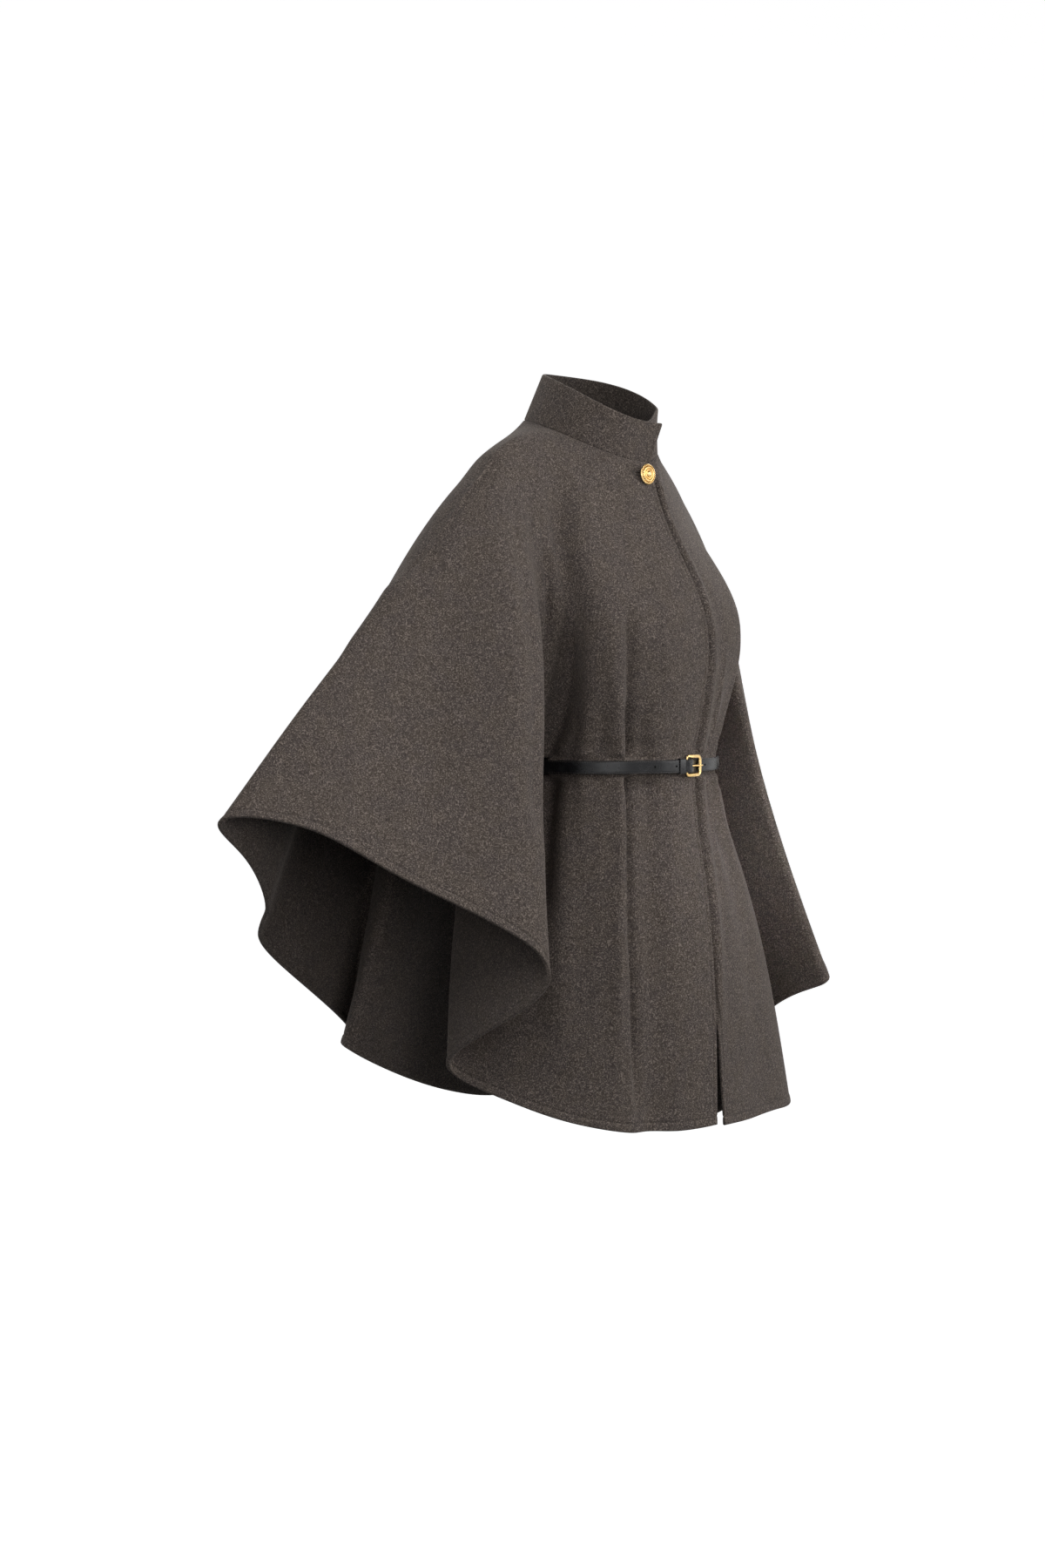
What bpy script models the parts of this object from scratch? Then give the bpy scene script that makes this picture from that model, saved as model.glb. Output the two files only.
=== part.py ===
"""Belted wool cape, filled out as if worn, with a stand collar, one button and a slim belt.

The wearer faces -Y, +X is the wearer's left and +Z is up. The origin is in the middle of the neck
opening, where the wearer holds the cape up. Tables and named sizes are in millimetres, and MM turns
them into the metres of the model.
"""
import math
from collections import namedtuple

import bmesh
import bpy
import numpy as np

MM = 0.001

# Cloth and leather
WOOL_WALL = 3.0
COLLAR_WALL = 4.0
LEATHER = 1.6
SEAM_GAP = 0.3
PANEL_GAP = 0.4

# Neck seam: a ring whose height follows the turn from the front to the back
NECK_RADIUS = 80.0
NECK_CENTRE_Y = 10.0
NECK_HEIGHT = (-12.9, -27.5, -5.6)

# Top edge of the stand collar
COLLAR_TOP_RADIUS = 71.0
COLLAR_TOP_CENTRE_Y = -7.0
COLLAR_TOP_HEIGHT = (37.0, -31.5, -5.0)
COLLAR_END_LEAN = 8.0
COLLAR_END_DROP = 8.0

# Yoke: the shoulder ring a hand's width below the neck
YOKE_HALF_WIDTH = 152.0
YOKE_FRONT = 104.0
YOKE_BACK = 111.0
YOKE_FRONT_Z = -118.0
YOKE_BACK_Z = -64.0
YOKE_SIDE_Z = {"right": -24.0, "left": -69.0}
YOKE_FRONT_SHAPE = 1.45

# Waist ring under the belt
WAIST_Z = -400.0
WAIST_CENTRE_Y = -30.0
WAIST_HALF_WIDTH = 135.0
WAIST_FRONT = 109.0
WAIST_BACK = 106.0

# The cape is drawn by lines that run from the neck to the hem, along its folds.
# neck and yoke are turns in degrees from the centre front. chest, waist and hem are
# (out to the side, back, up). On the lines held by the belt the waist's middle value is
# the depth of the fold inside the waist ring.
Line = namedtuple("Line", "name neck yoke chest waist hem")
STATIONS = (0.0, 0.12, 0.27, 0.47, 1.0)
BELTED_LINES = 5
SLIT_LINE = 5
SEAM_LINE = 11

# Below the belt the fronts spring out at once: a hip station on the way from waist to hem
HIP_STATION = 0.64
HIP_SWELL = 5.0

RIGHT_LINES = (
    Line("front edge", -10, -2, (-13, -153, -235), (-11, 0, -400), (4, -183, -815)),
    Line("front middle", 20, 17, (60, -145, -235), (42, 0, -400), (60, -165, -817)),
    Line("pleat trough", 34, 33, (92, -131, -235), (64, 11, -400), (92, -149, -815)),
    Line("pleat ridge", 46, 46, (121, -115, -235), (88, 0, -400), (120, -146, -813)),
    Line("front side", 54, 54, (140, -88, -240), (122, 0, -400), (180, -105, -798)),
    Line("belt slit", 60, 60, (152, -66, -240), (137.4, -23, -400), (228, -44, -771)),
    Line("side valley", 65, 65, (160, -50, -240), (182, 8, -405), (252, 12, -741)),
    Line("valley to ridge", 70, 70, (195, -68, -232), (225, -62, -407), (285, -95, -675)),
    Line("sleeve ridge", 75, 75, (235, -100, -225), (272, -140, -410), (297, -171, -606)),
    Line("sleeve front", 81, 81, (290, -45, -215), (350, -62, -360), (420, -79, -511)),
    Line("sleeve top", 87, 87, (322, -12, -205), (410, -15, -338), (510, -13, -452)),
    Line("over arm", 93, 93, (343, 17, -201), (460, 30, -319), (572, 43, -442)),
    Line("arm back", 100, 100, (338, 36, -206), (446, 49, -340), (566, 58, -454)),
    Line("sleeve back", 108, 108, (322, 68, -226), (413, 76, -372), (517, 68, -490)),
    Line("back scoop", 116, 116, (300, 91, -242), (381, 101, -397), (457, 99, -554)),
    Line("back swell", 124, 124, (268, 107, -252), (342, 129, -418), (424, 144, -587)),
    Line("swell to fold", 132, 132, (230, 114, -252), (278, 140, -422), (340, 162, -646)),
    Line("back fold", 140, 140, (190, 118, -248), (215, 142, -415), (228, 190, -718)),
    Line("back valley", 148, 148, (160, 111, -245), (222, 95, -408), (300, 131, -720)),
    Line("back panel", 157, 157, (105, 118, -242), (120, 116, -406), (200, 133, -767)),
    Line("back middle", 168, 168, (52, 124, -238), (56, 127, -405), (90, 140, -801)),
    Line("centre back", 180, 180, (0, 126, -236), (0, 131, -405), (0, 150, -815)),
)

# The left arm hangs lower, so its sleeve falls closer to the body and its side lower
LEFT_LINES = (
    Line("front edge", -10, -2, (-12, -153, -235), (-9, 0, -400), (12, -181, -818)),
    Line("front middle", 20, 17, (60, -145, -235), (42, 0, -400), (68, -173, -820)),
    Line("pleat trough", 34, 33, (94, -135, -235), (64, 6, -400), (105, -166, -820)),
    Line("pleat ridge", 46, 46, (124, -118, -230), (88, 0, -400), (154, -158, -820)),
    Line("front side", 54, 54, (138, -88, -240), (122, 0, -400), (209, -137, -818)),
    Line("belt slit", 60, 60, (145, -66, -240), (137.4, -23, -400), (230, -74, -812)),
    Line("side valley", 65, 65, (148, -50, -240), (172, 2, -405), (207, -23, -847)),
    Line("valley to ridge", 70, 70, (152, -58, -240), (176, -52, -406), (234, -84, -718)),
    Line("sleeve ridge", 75, 75, (158, -72, -242), (177, -106, -405), (240, -170, -672)),
    Line("sleeve front", 81, 81, (206, -48, -238), (238, -62, -402), (311, -90, -625)),
    Line("sleeve top", 87, 87, (248, -14, -232), (294, -18, -392), (370, -28, -576)),
    Line("over arm", 93, 93, (276, 13, -230), (332, 28, -388), (406, 40, -551)),
    Line("arm back", 100, 100, (272, 36, -236), (326, 50, -396), (400, 60, -562)),
    Line("sleeve back", 108, 108, (260, 66, -245), (314, 78, -410), (376, 80, -590)),
    Line("back scoop", 116, 116, (246, 89, -250), (296, 103, -420), (348, 108, -630)),
    Line("back swell", 124, 124, (228, 104, -253), (274, 129, -425), (327, 146, -668)),
    Line("swell to fold", 132, 132, (206, 113, -252), (238, 140, -424), (277, 163, -700)),
    Line("back fold", 140, 140, (180, 117, -248), (198, 142, -415), (207, 188, -742)),
    Line("back valley", 148, 148, (155, 113, -245), (182, 92, -408), (262, 132, -748)),
    Line("back panel", 157, 157, (105, 118, -242), (118, 116, -406), (185, 134, -782)),
    Line("back middle", 168, 168, (52, 124, -238), (56, 127, -405), (90, 141, -808)),
)

# How far the left front lies inside the right one, on its first lines
LEFT_INSET = (6.0, 4.0, 1.5)

# Where the belt presses the cloth flat: half of the flat band and of its blend, as stations
BELT_FLAT = 0.0155
BELT_BLEND = 0.045

# Grid of the walls
ROW_STATIONS = (0.0, 0.03, 0.07, 0.12, 0.17, 0.22, 0.27, 0.32, 0.38, 0.43, 0.4555,
                0.4855, 0.53, 0.6, 0.68, 0.76, 0.84, 0.92, 1.0)
COLUMNS_PER_LINE = 3
SLIT_HALF_COLUMN = 0.16
NECK_EASE = (1.0, 0.6, 0.25)
SLIT_ROWS = (0.4555, 0.4855)

# Button: a shank and a ringed dome, as (radius, height) from the cloth out
BUTTON_LINE = 0.5
BUTTON_STATION = 0.028
BUTTON_UPRIGHT = 0.9
BUTTON_PROFILE = (
    (2.6, 1.6), (2.6, 4.9), (10.6, 5.1), (12.0, 6.1), (12.2, 7.1), (11.4, 8.2), (9.9, 8.6),
    (9.2, 8.1), (8.4, 8.8), (7.0, 9.7), (5.6, 10.1), (5.0, 9.6), (4.2, 10.4), (2.4, 11.3),
)
BUTTON_SIDES = 28

# Belt and buckle, around the waist ring: along is the way from the buckle's middle to the
# wearer's left, off is the height over the ring
BELT_WIDTH = 15.0
BELT_OFF = 1.3
BUCKLE_X = -0.5
FRAME_WIDTH = 27.0
FRAME_HEIGHT = 25.0
FRAME_FRONT_CORNER = 6.5
FRAME_HEEL_CORNER = 4.6
FRAME_BAR = 1.65
HEEL_BAR = 1.2
FRAME_OFF = 4.2
LOOP_RADIUS = 2.4
PRONG_RADIUS = 1.0
KEEPER_ALONG = (-27.0, -17.8)
KEEPER_WALL = 1.0
FOLD_BACK_END = -46.0
TAIL_END = -196.0
TAIL_POINT = 9.0
PRONG_SLOT = (-7.5, 4.5)
HEEL_SLOT = 4.6
PRONG_SLOT_HEIGHT = 3.4


def ring_height(turn, height):
    """Height of a ring that falls from the back to the front, at a turn in degrees."""
    angle = np.radians(turn)
    return height[0] + height[1] * np.cos(angle) + height[2] * np.cos(2.0 * angle)


def neck_point(turn, inset):
    """Point of the neck seam as (out, back, up)."""
    angle = math.radians(turn)
    radius = NECK_RADIUS - inset
    return (radius * math.sin(angle), NECK_CENTRE_Y - radius * math.cos(angle),
            float(ring_height(turn, NECK_HEIGHT)))


def yoke_point(turn, inset, side):
    """Point of the shoulder ring as (out, back, up)."""
    sine, cosine = math.sin(math.radians(turn)), math.cos(math.radians(turn))
    front = cosine > 0.0
    shape = YOKE_FRONT_SHAPE if front else 1.0
    depth = YOKE_FRONT - inset if front else YOKE_BACK
    fall = cosine * cosine * (3.0 - 2.0 * cosine) if front else cosine * cosine
    drop = (YOKE_FRONT_Z if front else YOKE_BACK_Z) - YOKE_SIDE_Z[side]
    return (math.copysign(YOKE_HALF_WIDTH * abs(sine) ** shape, sine),
            -math.copysign(depth * abs(cosine) ** shape, cosine),
            YOKE_SIDE_Z[side] + drop * fall)


def waist_ring_y(out):
    """Front of the waist ring at a distance to the side."""
    return WAIST_CENTRE_Y - WAIST_FRONT * math.sqrt(1.0 - (out / WAIST_HALF_WIDTH) ** 2)


def hip_point(waist, hem):
    """Point on the way from the waist to the hem, a little outside the straight way."""
    share = (HIP_STATION - STATIONS[3]) / (1.0 - STATIONS[3])
    hip = np.array(waist) + share * (np.array(hem) - np.array(waist))
    out = hip[:2] - np.array((0.0, WAIST_CENTRE_Y))
    hip[:2] += HIP_SWELL * out / np.linalg.norm(out)
    return hip


def line_points(index, line, side):
    """Stations of one line and its points there, on its own side of the body."""
    inset = LEFT_INSET[index] if side == "left" and index < len(LEFT_INSET) else 0.0
    stations = list(STATIONS)
    waist = line.waist
    if index < BELTED_LINES:
        waist = (waist[0], waist_ring_y(waist[0]) + waist[1] + inset, waist[2])
    chest = (line.chest[0], line.chest[1] + inset, line.chest[2])
    points = [neck_point(line.neck, inset), yoke_point(line.yoke, inset, side), chest, waist, line.hem]
    if index <= SLIT_LINE:
        stations.insert(4, HIP_STATION)
        points.insert(4, hip_point(waist, line.hem))
    points = np.array(points, float)
    points[:, 0] *= 1.0 if side == "left" else -1.0
    return np.array(stations), points


def cape_lines():
    """Every line, from the right front edge round the back to the left front edge."""
    right = [line_points(i, line, "right") for i, line in enumerate(RIGHT_LINES)]
    left = [line_points(i, line, "left") for i, line in enumerate(LEFT_LINES)]
    return right + left[::-1]


def belted_weights():
    """How firmly the belt holds each line."""
    right = [1.0] * BELTED_LINES + [0.5] + [0.0] * (len(RIGHT_LINES) - BELTED_LINES - 1)
    left = right[:len(LEFT_LINES)]
    return np.array(right + left[::-1])


def cubic(knots, values, at):
    """Natural cubic spline through the values at the knots, read at other places."""
    count = len(knots)
    step = np.diff(knots)
    matrix = np.zeros((count, count))
    matrix[0, 0] = matrix[-1, -1] = 1.0
    right_side = np.zeros(values.shape)
    for i in range(1, count - 1):
        matrix[i, i - 1:i + 2] = step[i - 1], 2.0 * (step[i - 1] + step[i]), step[i]
        right_side[i] = 6.0 * ((values[i + 1] - values[i]) / step[i]
                               - (values[i] - values[i - 1]) / step[i - 1])
    bend = np.linalg.solve(matrix, right_side)
    k = np.clip(np.searchsorted(knots, at, side="right") - 1, 0, count - 2)
    width = step[k][:, None]
    before = (knots[k + 1] - at)[:, None] / width
    after = 1.0 - before
    return (before * values[k] + after * values[k + 1]
            + ((before ** 3 - before) * bend[k] + (after ** 3 - after) * bend[k + 1]) * width ** 2 / 6.0)


def monotone(knots, values, at):
    """Rising smooth curve through the values at the knots, read at other places."""
    step = np.diff(knots)
    slope = np.diff(values) / step
    inner = 2.0 * slope[:-1] * slope[1:] / (slope[:-1] + slope[1:])
    tangent = np.concatenate((slope[:1], inner, slope[-1:]))
    k = np.clip(np.searchsorted(knots, at, side="right") - 1, 0, len(knots) - 2)
    t = (at - knots[k]) / step[k]
    return (values[k] * (1.0 + 2.0 * t) * (1.0 - t) ** 2 + values[k + 1] * t * t * (3.0 - 2.0 * t)
            + step[k] * (tangent[k] * t * (1.0 - t) ** 2 - tangent[k + 1] * t * t * (1.0 - t)))


def belt_flattened(stations):
    """Stations whose place is drawn towards the waist, so that the belt holds a flat band."""
    waist = STATIONS[3]
    away = stations - waist
    t = np.clip((np.abs(away) - BELT_FLAT) / (BELT_BLEND - BELT_FLAT), 0.0, 1.0)
    return waist + away * t * t * (3.0 - 2.0 * t)


def belt_hold(columns, rows):
    """How firmly the belt holds each grid point inside the waist ring, from 0 to 1."""
    last = len(RIGHT_LINES) + len(LEFT_LINES) - 1
    columns = np.asarray(columns, float)
    from_edge = np.minimum(columns, last - columns)
    across = np.clip((SLIT_LINE - from_edge) / SLIT_HALF_COLUMN, 0.0, 1.0)
    t = np.clip((np.abs(rows - STATIONS[3]) - BELT_FLAT) / (BELT_BLEND - BELT_FLAT), 0.0, 1.0)
    return across[:, None] * (1.0 - t * t * (3.0 - 2.0 * t))[None, :]


def cape_points(columns, rows):
    """Outer surface of the cape at line places (columns) and stations (rows)."""
    rows = np.asarray(rows, float)
    rails = []
    for (knots, points), weight in zip(cape_lines(), belted_weights()):
        lengths = np.linalg.norm(np.diff(points, axis=0), axis=1)
        along = np.concatenate(([0.0], np.cumsum(lengths)))
        free = cubic(along, points, monotone(knots, along, rows))
        held = cubic(along, points, monotone(knots, along, belt_flattened(rows)))
        free[:, :2] += weight * (held[:, :2] - free[:, :2])
        rails.append(free)
    rails = np.array(rails)
    places = np.arange(len(rails), dtype=float)
    grid = np.zeros((len(columns), len(rows), 3))
    for j in range(len(rows)):
        steps = np.linalg.norm(np.diff(rails[:, j], axis=0), axis=1) ** 0.5
        along = np.concatenate(([0.0], np.cumsum(steps)))
        grid[:, j] = cubic(along, rails[:, j], np.interp(columns, places, along))
    middle = np.array((0.0, WAIST_CENTRE_Y))
    reach = (grid[:, :, :2] - middle) / np.array((WAIST_HALF_WIDTH, WAIST_FRONT))
    beyond = np.maximum(np.linalg.norm(reach, axis=2), 1.0)
    shrink = 1.0 + belt_hold(columns, rows) * (1.0 / beyond - 1.0)
    grid[:, :, :2] = middle + (grid[:, :, :2] - middle) * shrink[:, :, None]
    return grid


def cape_normals(columns, rows):
    """Outward normals of the cape and its direction across the lines."""
    last = len(RIGHT_LINES) + len(LEFT_LINES) - 1
    columns = np.asarray(columns, float)
    rows = np.asarray(rows, float)
    reach, drop = 0.04, 0.004
    across = (cape_points(np.clip(columns + reach, 0, last), rows)
              - cape_points(np.clip(columns - reach, 0, last), rows))
    down = (cape_points(columns, np.clip(rows + drop, 0, 1))
            - cape_points(columns, np.clip(rows - drop, 0, 1)))
    across /= np.linalg.norm(across, axis=2, keepdims=True)
    normal = np.cross(across, down)
    return normal / np.linalg.norm(normal, axis=2, keepdims=True), across


def neck_turns(columns):
    """Turn around the neck, in degrees from the centre front, at line places."""
    right = [line.neck for line in RIGHT_LINES]
    left = [360 - line.neck for line in LEFT_LINES]
    return np.interp(columns, np.arange(len(right) + len(left)), right + left[::-1])


def neck_insets(columns):
    """How far the neck edge lies inside the neck ring at line places."""
    right = [0.0] * len(RIGHT_LINES)
    left = list(LEFT_INSET) + [0.0] * (len(LEFT_LINES) - len(LEFT_INSET))
    return np.interp(columns, np.arange(len(right) + len(left)), right + left[::-1])


def seam_directions(columns):
    """At the neck seam: the shared wall direction and the way up across the seam."""
    angle = np.radians(neck_turns(columns))
    radial = np.stack((-np.sin(angle), -np.cos(angle), np.zeros_like(angle)), axis=1)
    up = np.array((0.0, 0.0, 1.0))
    wall = 0.8 * radial + 0.6 * up
    across = -0.6 * radial + 0.8 * up
    return wall, across


def make_object(name, vertices, faces, material):
    """Object from vertices in millimetres and faces that point out."""
    mesh = bpy.data.meshes.new(name)
    mesh.from_pydata([tuple(float(c) * MM for c in v) for v in vertices], [], faces)
    mesh.update()
    mesh.shade_smooth()
    mesh.set_sharp_from_angle(angle=math.radians(40.0))
    mesh.materials.append(material)
    made = bpy.data.objects.new(name, mesh)
    bpy.context.scene.collection.objects.link(made)
    return made


def wall_faces(outer, inner, is_open):
    """Closed wall between two grids, leaving out the open cells."""
    columns, rows = outer.shape[:2]
    inner_start = columns * rows
    faces = []

    def corner(i, j):
        return i * rows + j

    def filled(i, j):
        return 0 <= i < columns - 1 and 0 <= j < rows - 1 and not is_open(i, j)

    for i in range(columns - 1):
        for j in range(rows - 1):
            if not filled(i, j):
                continue
            loop = (corner(i, j), corner(i + 1, j), corner(i + 1, j + 1), corner(i, j + 1))
            faces.append(loop)
            faces.append(tuple(inner_start + k for k in reversed(loop)))
            neighbours = ((i, j - 1), (i + 1, j), (i, j + 1), (i - 1, j))
            for k, beside in enumerate(neighbours):
                if not filled(*beside):
                    a, b = loop[k], loop[(k + 1) % 4]
                    faces.append((b, a, inner_start + a, inner_start + b))
    vertices = np.concatenate((outer.reshape(-1, 3), inner.reshape(-1, 3)))
    used = sorted({k for face in faces for k in face})
    place = {old: new for new, old in enumerate(used)}
    return vertices[used], [tuple(place[k] for k in face) for face in faces]


def make_wall(name, outer, inner, material, is_open=lambda i, j: False):
    vertices, faces = wall_faces(outer, inner, is_open)
    return make_object(name, vertices, faces, material)


def panel_columns(first, last, slit=None):
    """Line places of a panel's columns, closer together beside a belt slit."""
    columns = list(np.linspace(first, last, (last - first) * COLUMNS_PER_LINE + 1))
    if slit is not None:
        nearest = 1.0 / COLUMNS_PER_LINE
        columns = [c for c in columns if abs(c - slit) > nearest / 2.0]
        columns += [slit - SLIT_HALF_COLUMN, slit + SLIT_HALF_COLUMN]
    return np.array(sorted(columns))


def panel_places():
    """Columns of each panel and the line of its belt slit."""
    left_edge = len(RIGHT_LINES) + len(LEFT_LINES) - 1
    left_seam = left_edge - SEAM_LINE
    left_slit = left_edge - SLIT_LINE
    return {
        "front_right": (panel_columns(0, SEAM_LINE, SLIT_LINE), SLIT_LINE),
        "back": (panel_columns(SEAM_LINE, left_seam), None),
        "front_left": (panel_columns(left_seam, left_edge, left_slit), left_slit),
    }


def make_panel(name, columns, slit, material):
    """Wall of one cloth panel, open at its belt slit and apart from its neighbours at the seams."""
    rows = np.array(ROW_STATIONS)
    outer = cape_points(columns, rows)
    normal, across = cape_normals(columns, rows)
    seam_wall, seam_up = seam_directions(columns)
    for row, share in enumerate(NECK_EASE):
        normal[:, row] += share * (seam_wall - normal[:, row])
        normal[:, row] /= np.linalg.norm(normal[:, row], axis=1, keepdims=True)
    half_gap = PANEL_GAP / 2.0
    left_edge = len(RIGHT_LINES) + len(LEFT_LINES) - 1
    for end, way in ((0, 1.0), (-1, -1.0)):
        if columns[end] not in (0.0, float(left_edge)):
            outer[end] += way * half_gap * across[end]
    outer[:, 0] -= half_gap * seam_up
    inner = outer - WOOL_WALL * normal

    def is_open(i, j):
        if slit is None:
            return False
        beside = abs(0.5 * (columns[i] + columns[i + 1]) - slit) < SLIT_HALF_COLUMN
        return beside and SLIT_ROWS[0] <= 0.5 * (rows[j] + rows[j + 1]) <= SLIT_ROWS[1]

    return make_wall(name, outer, inner, material, is_open)


def collar_grid(columns, levels):
    """Outer points and wall directions of the stand collar, from its top edge down to the seam."""
    turn = neck_turns(columns)
    angle = np.radians(turn)
    inset = neck_insets(columns)
    radius = COLLAR_TOP_RADIUS - inset
    top = np.stack((-radius * np.sin(angle), COLLAR_TOP_CENTRE_Y - radius * np.cos(angle),
                    ring_height(turn, COLLAR_TOP_HEIGHT)), axis=1)
    end = np.clip(1.0 - np.abs(columns), 0.0, 1.0)
    top[:, 0] += COLLAR_END_LEAN * end
    top[:, 2] -= COLLAR_END_DROP * end ** 2
    seam_wall, seam_up = seam_directions(columns)
    base = cape_points(columns, (0.0,))[:, 0] + 0.5 * SEAM_GAP * seam_up
    radial = np.stack((-np.sin(angle), -np.cos(angle), np.zeros_like(angle)), axis=1)
    outer = np.stack([top + (base - top) * level for level in levels], axis=1)
    walls = np.stack([radial + (seam_wall - radial) * level ** 2 for level in levels], axis=1)
    return outer, walls / np.linalg.norm(walls, axis=2, keepdims=True)


def make_collar(material):
    columns = np.unique(np.concatenate([places for places, _ in panel_places().values()]))
    outer, walls = collar_grid(columns, (0.0, 0.5, 1.0))
    return make_wall("collar", outer, outer - COLLAR_WALL * walls, material)


def make_button(material):
    """Domed shank button, standing on the cloth and tipped upright on its shank."""
    place = np.array((BUTTON_LINE,))
    row = np.array((BUTTON_STATION,))
    foot = cape_points(place, row)[0, 0]
    axis = cape_normals(place, row)[0][0, 0]
    axis[2] *= 1.0 - BUTTON_UPRIGHT
    axis /= np.linalg.norm(axis)
    side = np.cross(axis, (0.0, 0.0, 1.0))
    side /= np.linalg.norm(side)
    up = np.cross(side, axis)
    vertices = []
    faces = []
    for radius, height in BUTTON_PROFILE:
        for k in range(BUTTON_SIDES):
            angle = 2.0 * math.pi * k / BUTTON_SIDES
            vertices.append(foot + height * axis
                            + radius * (math.cos(angle) * side + math.sin(angle) * up))
    rings = len(BUTTON_PROFILE)
    for ring in range(rings - 1):
        for k in range(BUTTON_SIDES):
            following = (k + 1) % BUTTON_SIDES
            a, b = ring * BUTTON_SIDES + k, ring * BUTTON_SIDES + following
            faces.append((b, a, a + BUTTON_SIDES, b + BUTTON_SIDES))
    faces.append(tuple(range(BUTTON_SIDES)))
    faces.append(tuple(reversed(range((rings - 1) * BUTTON_SIDES, rings * BUTTON_SIDES))))
    made = make_object("button", vertices, faces, material)
    face_out(made)
    return made


def face_out(made):
    """Turn every face of a closed object outwards."""
    shape = bmesh.new()
    shape.from_mesh(made.data)
    bmesh.ops.recalc_face_normals(shape, faces=shape.faces)
    shape.to_mesh(made.data)
    shape.free()


class BeltRing:
    """The waist ring as a closed curve measured from the buckle's middle."""

    def __init__(self):
        turns = np.radians(np.linspace(-180.0, 180.0, 1441))
        depth = np.where(np.cos(turns) > 0.0, WAIST_FRONT, WAIST_BACK)
        self.points = np.stack((WAIST_HALF_WIDTH * np.sin(turns),
                                WAIST_CENTRE_Y - depth * np.cos(turns)), axis=1)
        lengths = np.linalg.norm(np.diff(self.points, axis=0), axis=1)
        along = np.concatenate(([0.0], np.cumsum(lengths)))
        self.length = along[-1]
        front = np.abs(turns) < math.pi / 2.0
        start = np.interp(BUCKLE_X, self.points[front, 0], along[front])
        self.along = along - start

    def place(self, along, off, z):
        """Point at a way along the ring, a height off it and a height z."""
        def on_ring(way):
            wrapped = (way - self.along[0]) % self.length + self.along[0]
            return np.array([np.interp(wrapped, self.along, self.points[:, k]) for k in (0, 1)])
        here = on_ring(along)
        ahead = on_ring(along + 0.5) - on_ring(along - 0.5)
        ahead /= np.linalg.norm(ahead)
        x, y = here + off * np.array((ahead[1], -ahead[0]))
        return np.array((x, y, WAIST_Z + z))


def smooth_route(route, spacing):
    """Points of a smooth curve through (along, off) places, at about the given spacing."""
    route = np.array(route, float)
    steps = np.linalg.norm(np.diff(route, axis=0), axis=1)
    knots = np.concatenate(([0.0], np.cumsum(steps ** 0.5)))
    parts = []
    for k, step in enumerate(steps):
        count = max(1, int(round(step / spacing)))
        parts.append(np.linspace(knots[k], knots[k + 1], count, endpoint=False))
    at = np.concatenate(parts + [knots[-1:]])
    return cubic(knots, route, at)


def buckle_end_route():
    """The strap's buckle end: the fold-back, the turn round the heel bar and the way on."""
    bar = -FRAME_WIDTH / 2.0 + HEEL_BAR
    route = [(FOLD_BACK_END, BELT_OFF), (-32.0, BELT_OFF), (-20.0, BELT_OFF)]
    for degrees in (-75, -45, -15, 15, 45, 75):
        angle = math.radians(degrees)
        route.append((bar + LOOP_RADIUS * math.cos(angle), FRAME_OFF + LOOP_RADIUS * math.sin(angle)))
    main = BELT_OFF + LEATHER + KEEPER_WALL + 2.0 * SEAM_GAP
    route += [(-15.2, main + 0.7), (-17.6, main), (-22.0, main), (-28.0, main), (-34.0, main),
              (-50.0, main - 0.5), (-66.0, BELT_OFF)]
    return route


def tail_route():
    """The strap's tail: in from the left, under the frame, over the heel bar and on top."""
    bar = -FRAME_WIDTH / 2.0 + HEEL_BAR
    over_bar = FRAME_OFF + LOOP_RADIUS + LEATHER + 2.0 * SEAM_GAP
    main = BELT_OFF + LEATHER + KEEPER_WALL + 2.0 * SEAM_GAP
    on_main = main + LEATHER + SEAM_GAP
    on_strap = BELT_OFF + LEATHER + SEAM_GAP
    return [(24.0, BELT_OFF), (16.0, BELT_OFF), (10.0, BELT_OFF + 0.1), (4.0, 2.6),
            (-4.0, 6.4), (bar, over_bar), (-15.6, on_main + 0.8), (-18.0, on_main), (-22.0, on_main),
            (-28.0, on_main), (-34.0, on_main), (-50.0, on_main - 0.4), (-68.0, on_strap + 0.2),
            (-84.0, on_strap), (TAIL_END, on_strap)]


def belt_route(ring):
    """The whole strap as (along, off): buckle end, round the back, and the tail."""
    start = smooth_route(buckle_end_route(), 2.6)
    tail = smooth_route(tail_route(), 3.2)
    round_start = start[-1, 0] - 8.0
    round_end = tail[0, 0] - ring.length + 8.0
    count = int((round_start - round_end) / 12.0)
    around = np.stack((np.linspace(round_start, round_end, count), np.full(count, BELT_OFF)), axis=1)
    tail = tail - np.array((ring.length, 0.0))
    return np.concatenate((start, around, tail))


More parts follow.
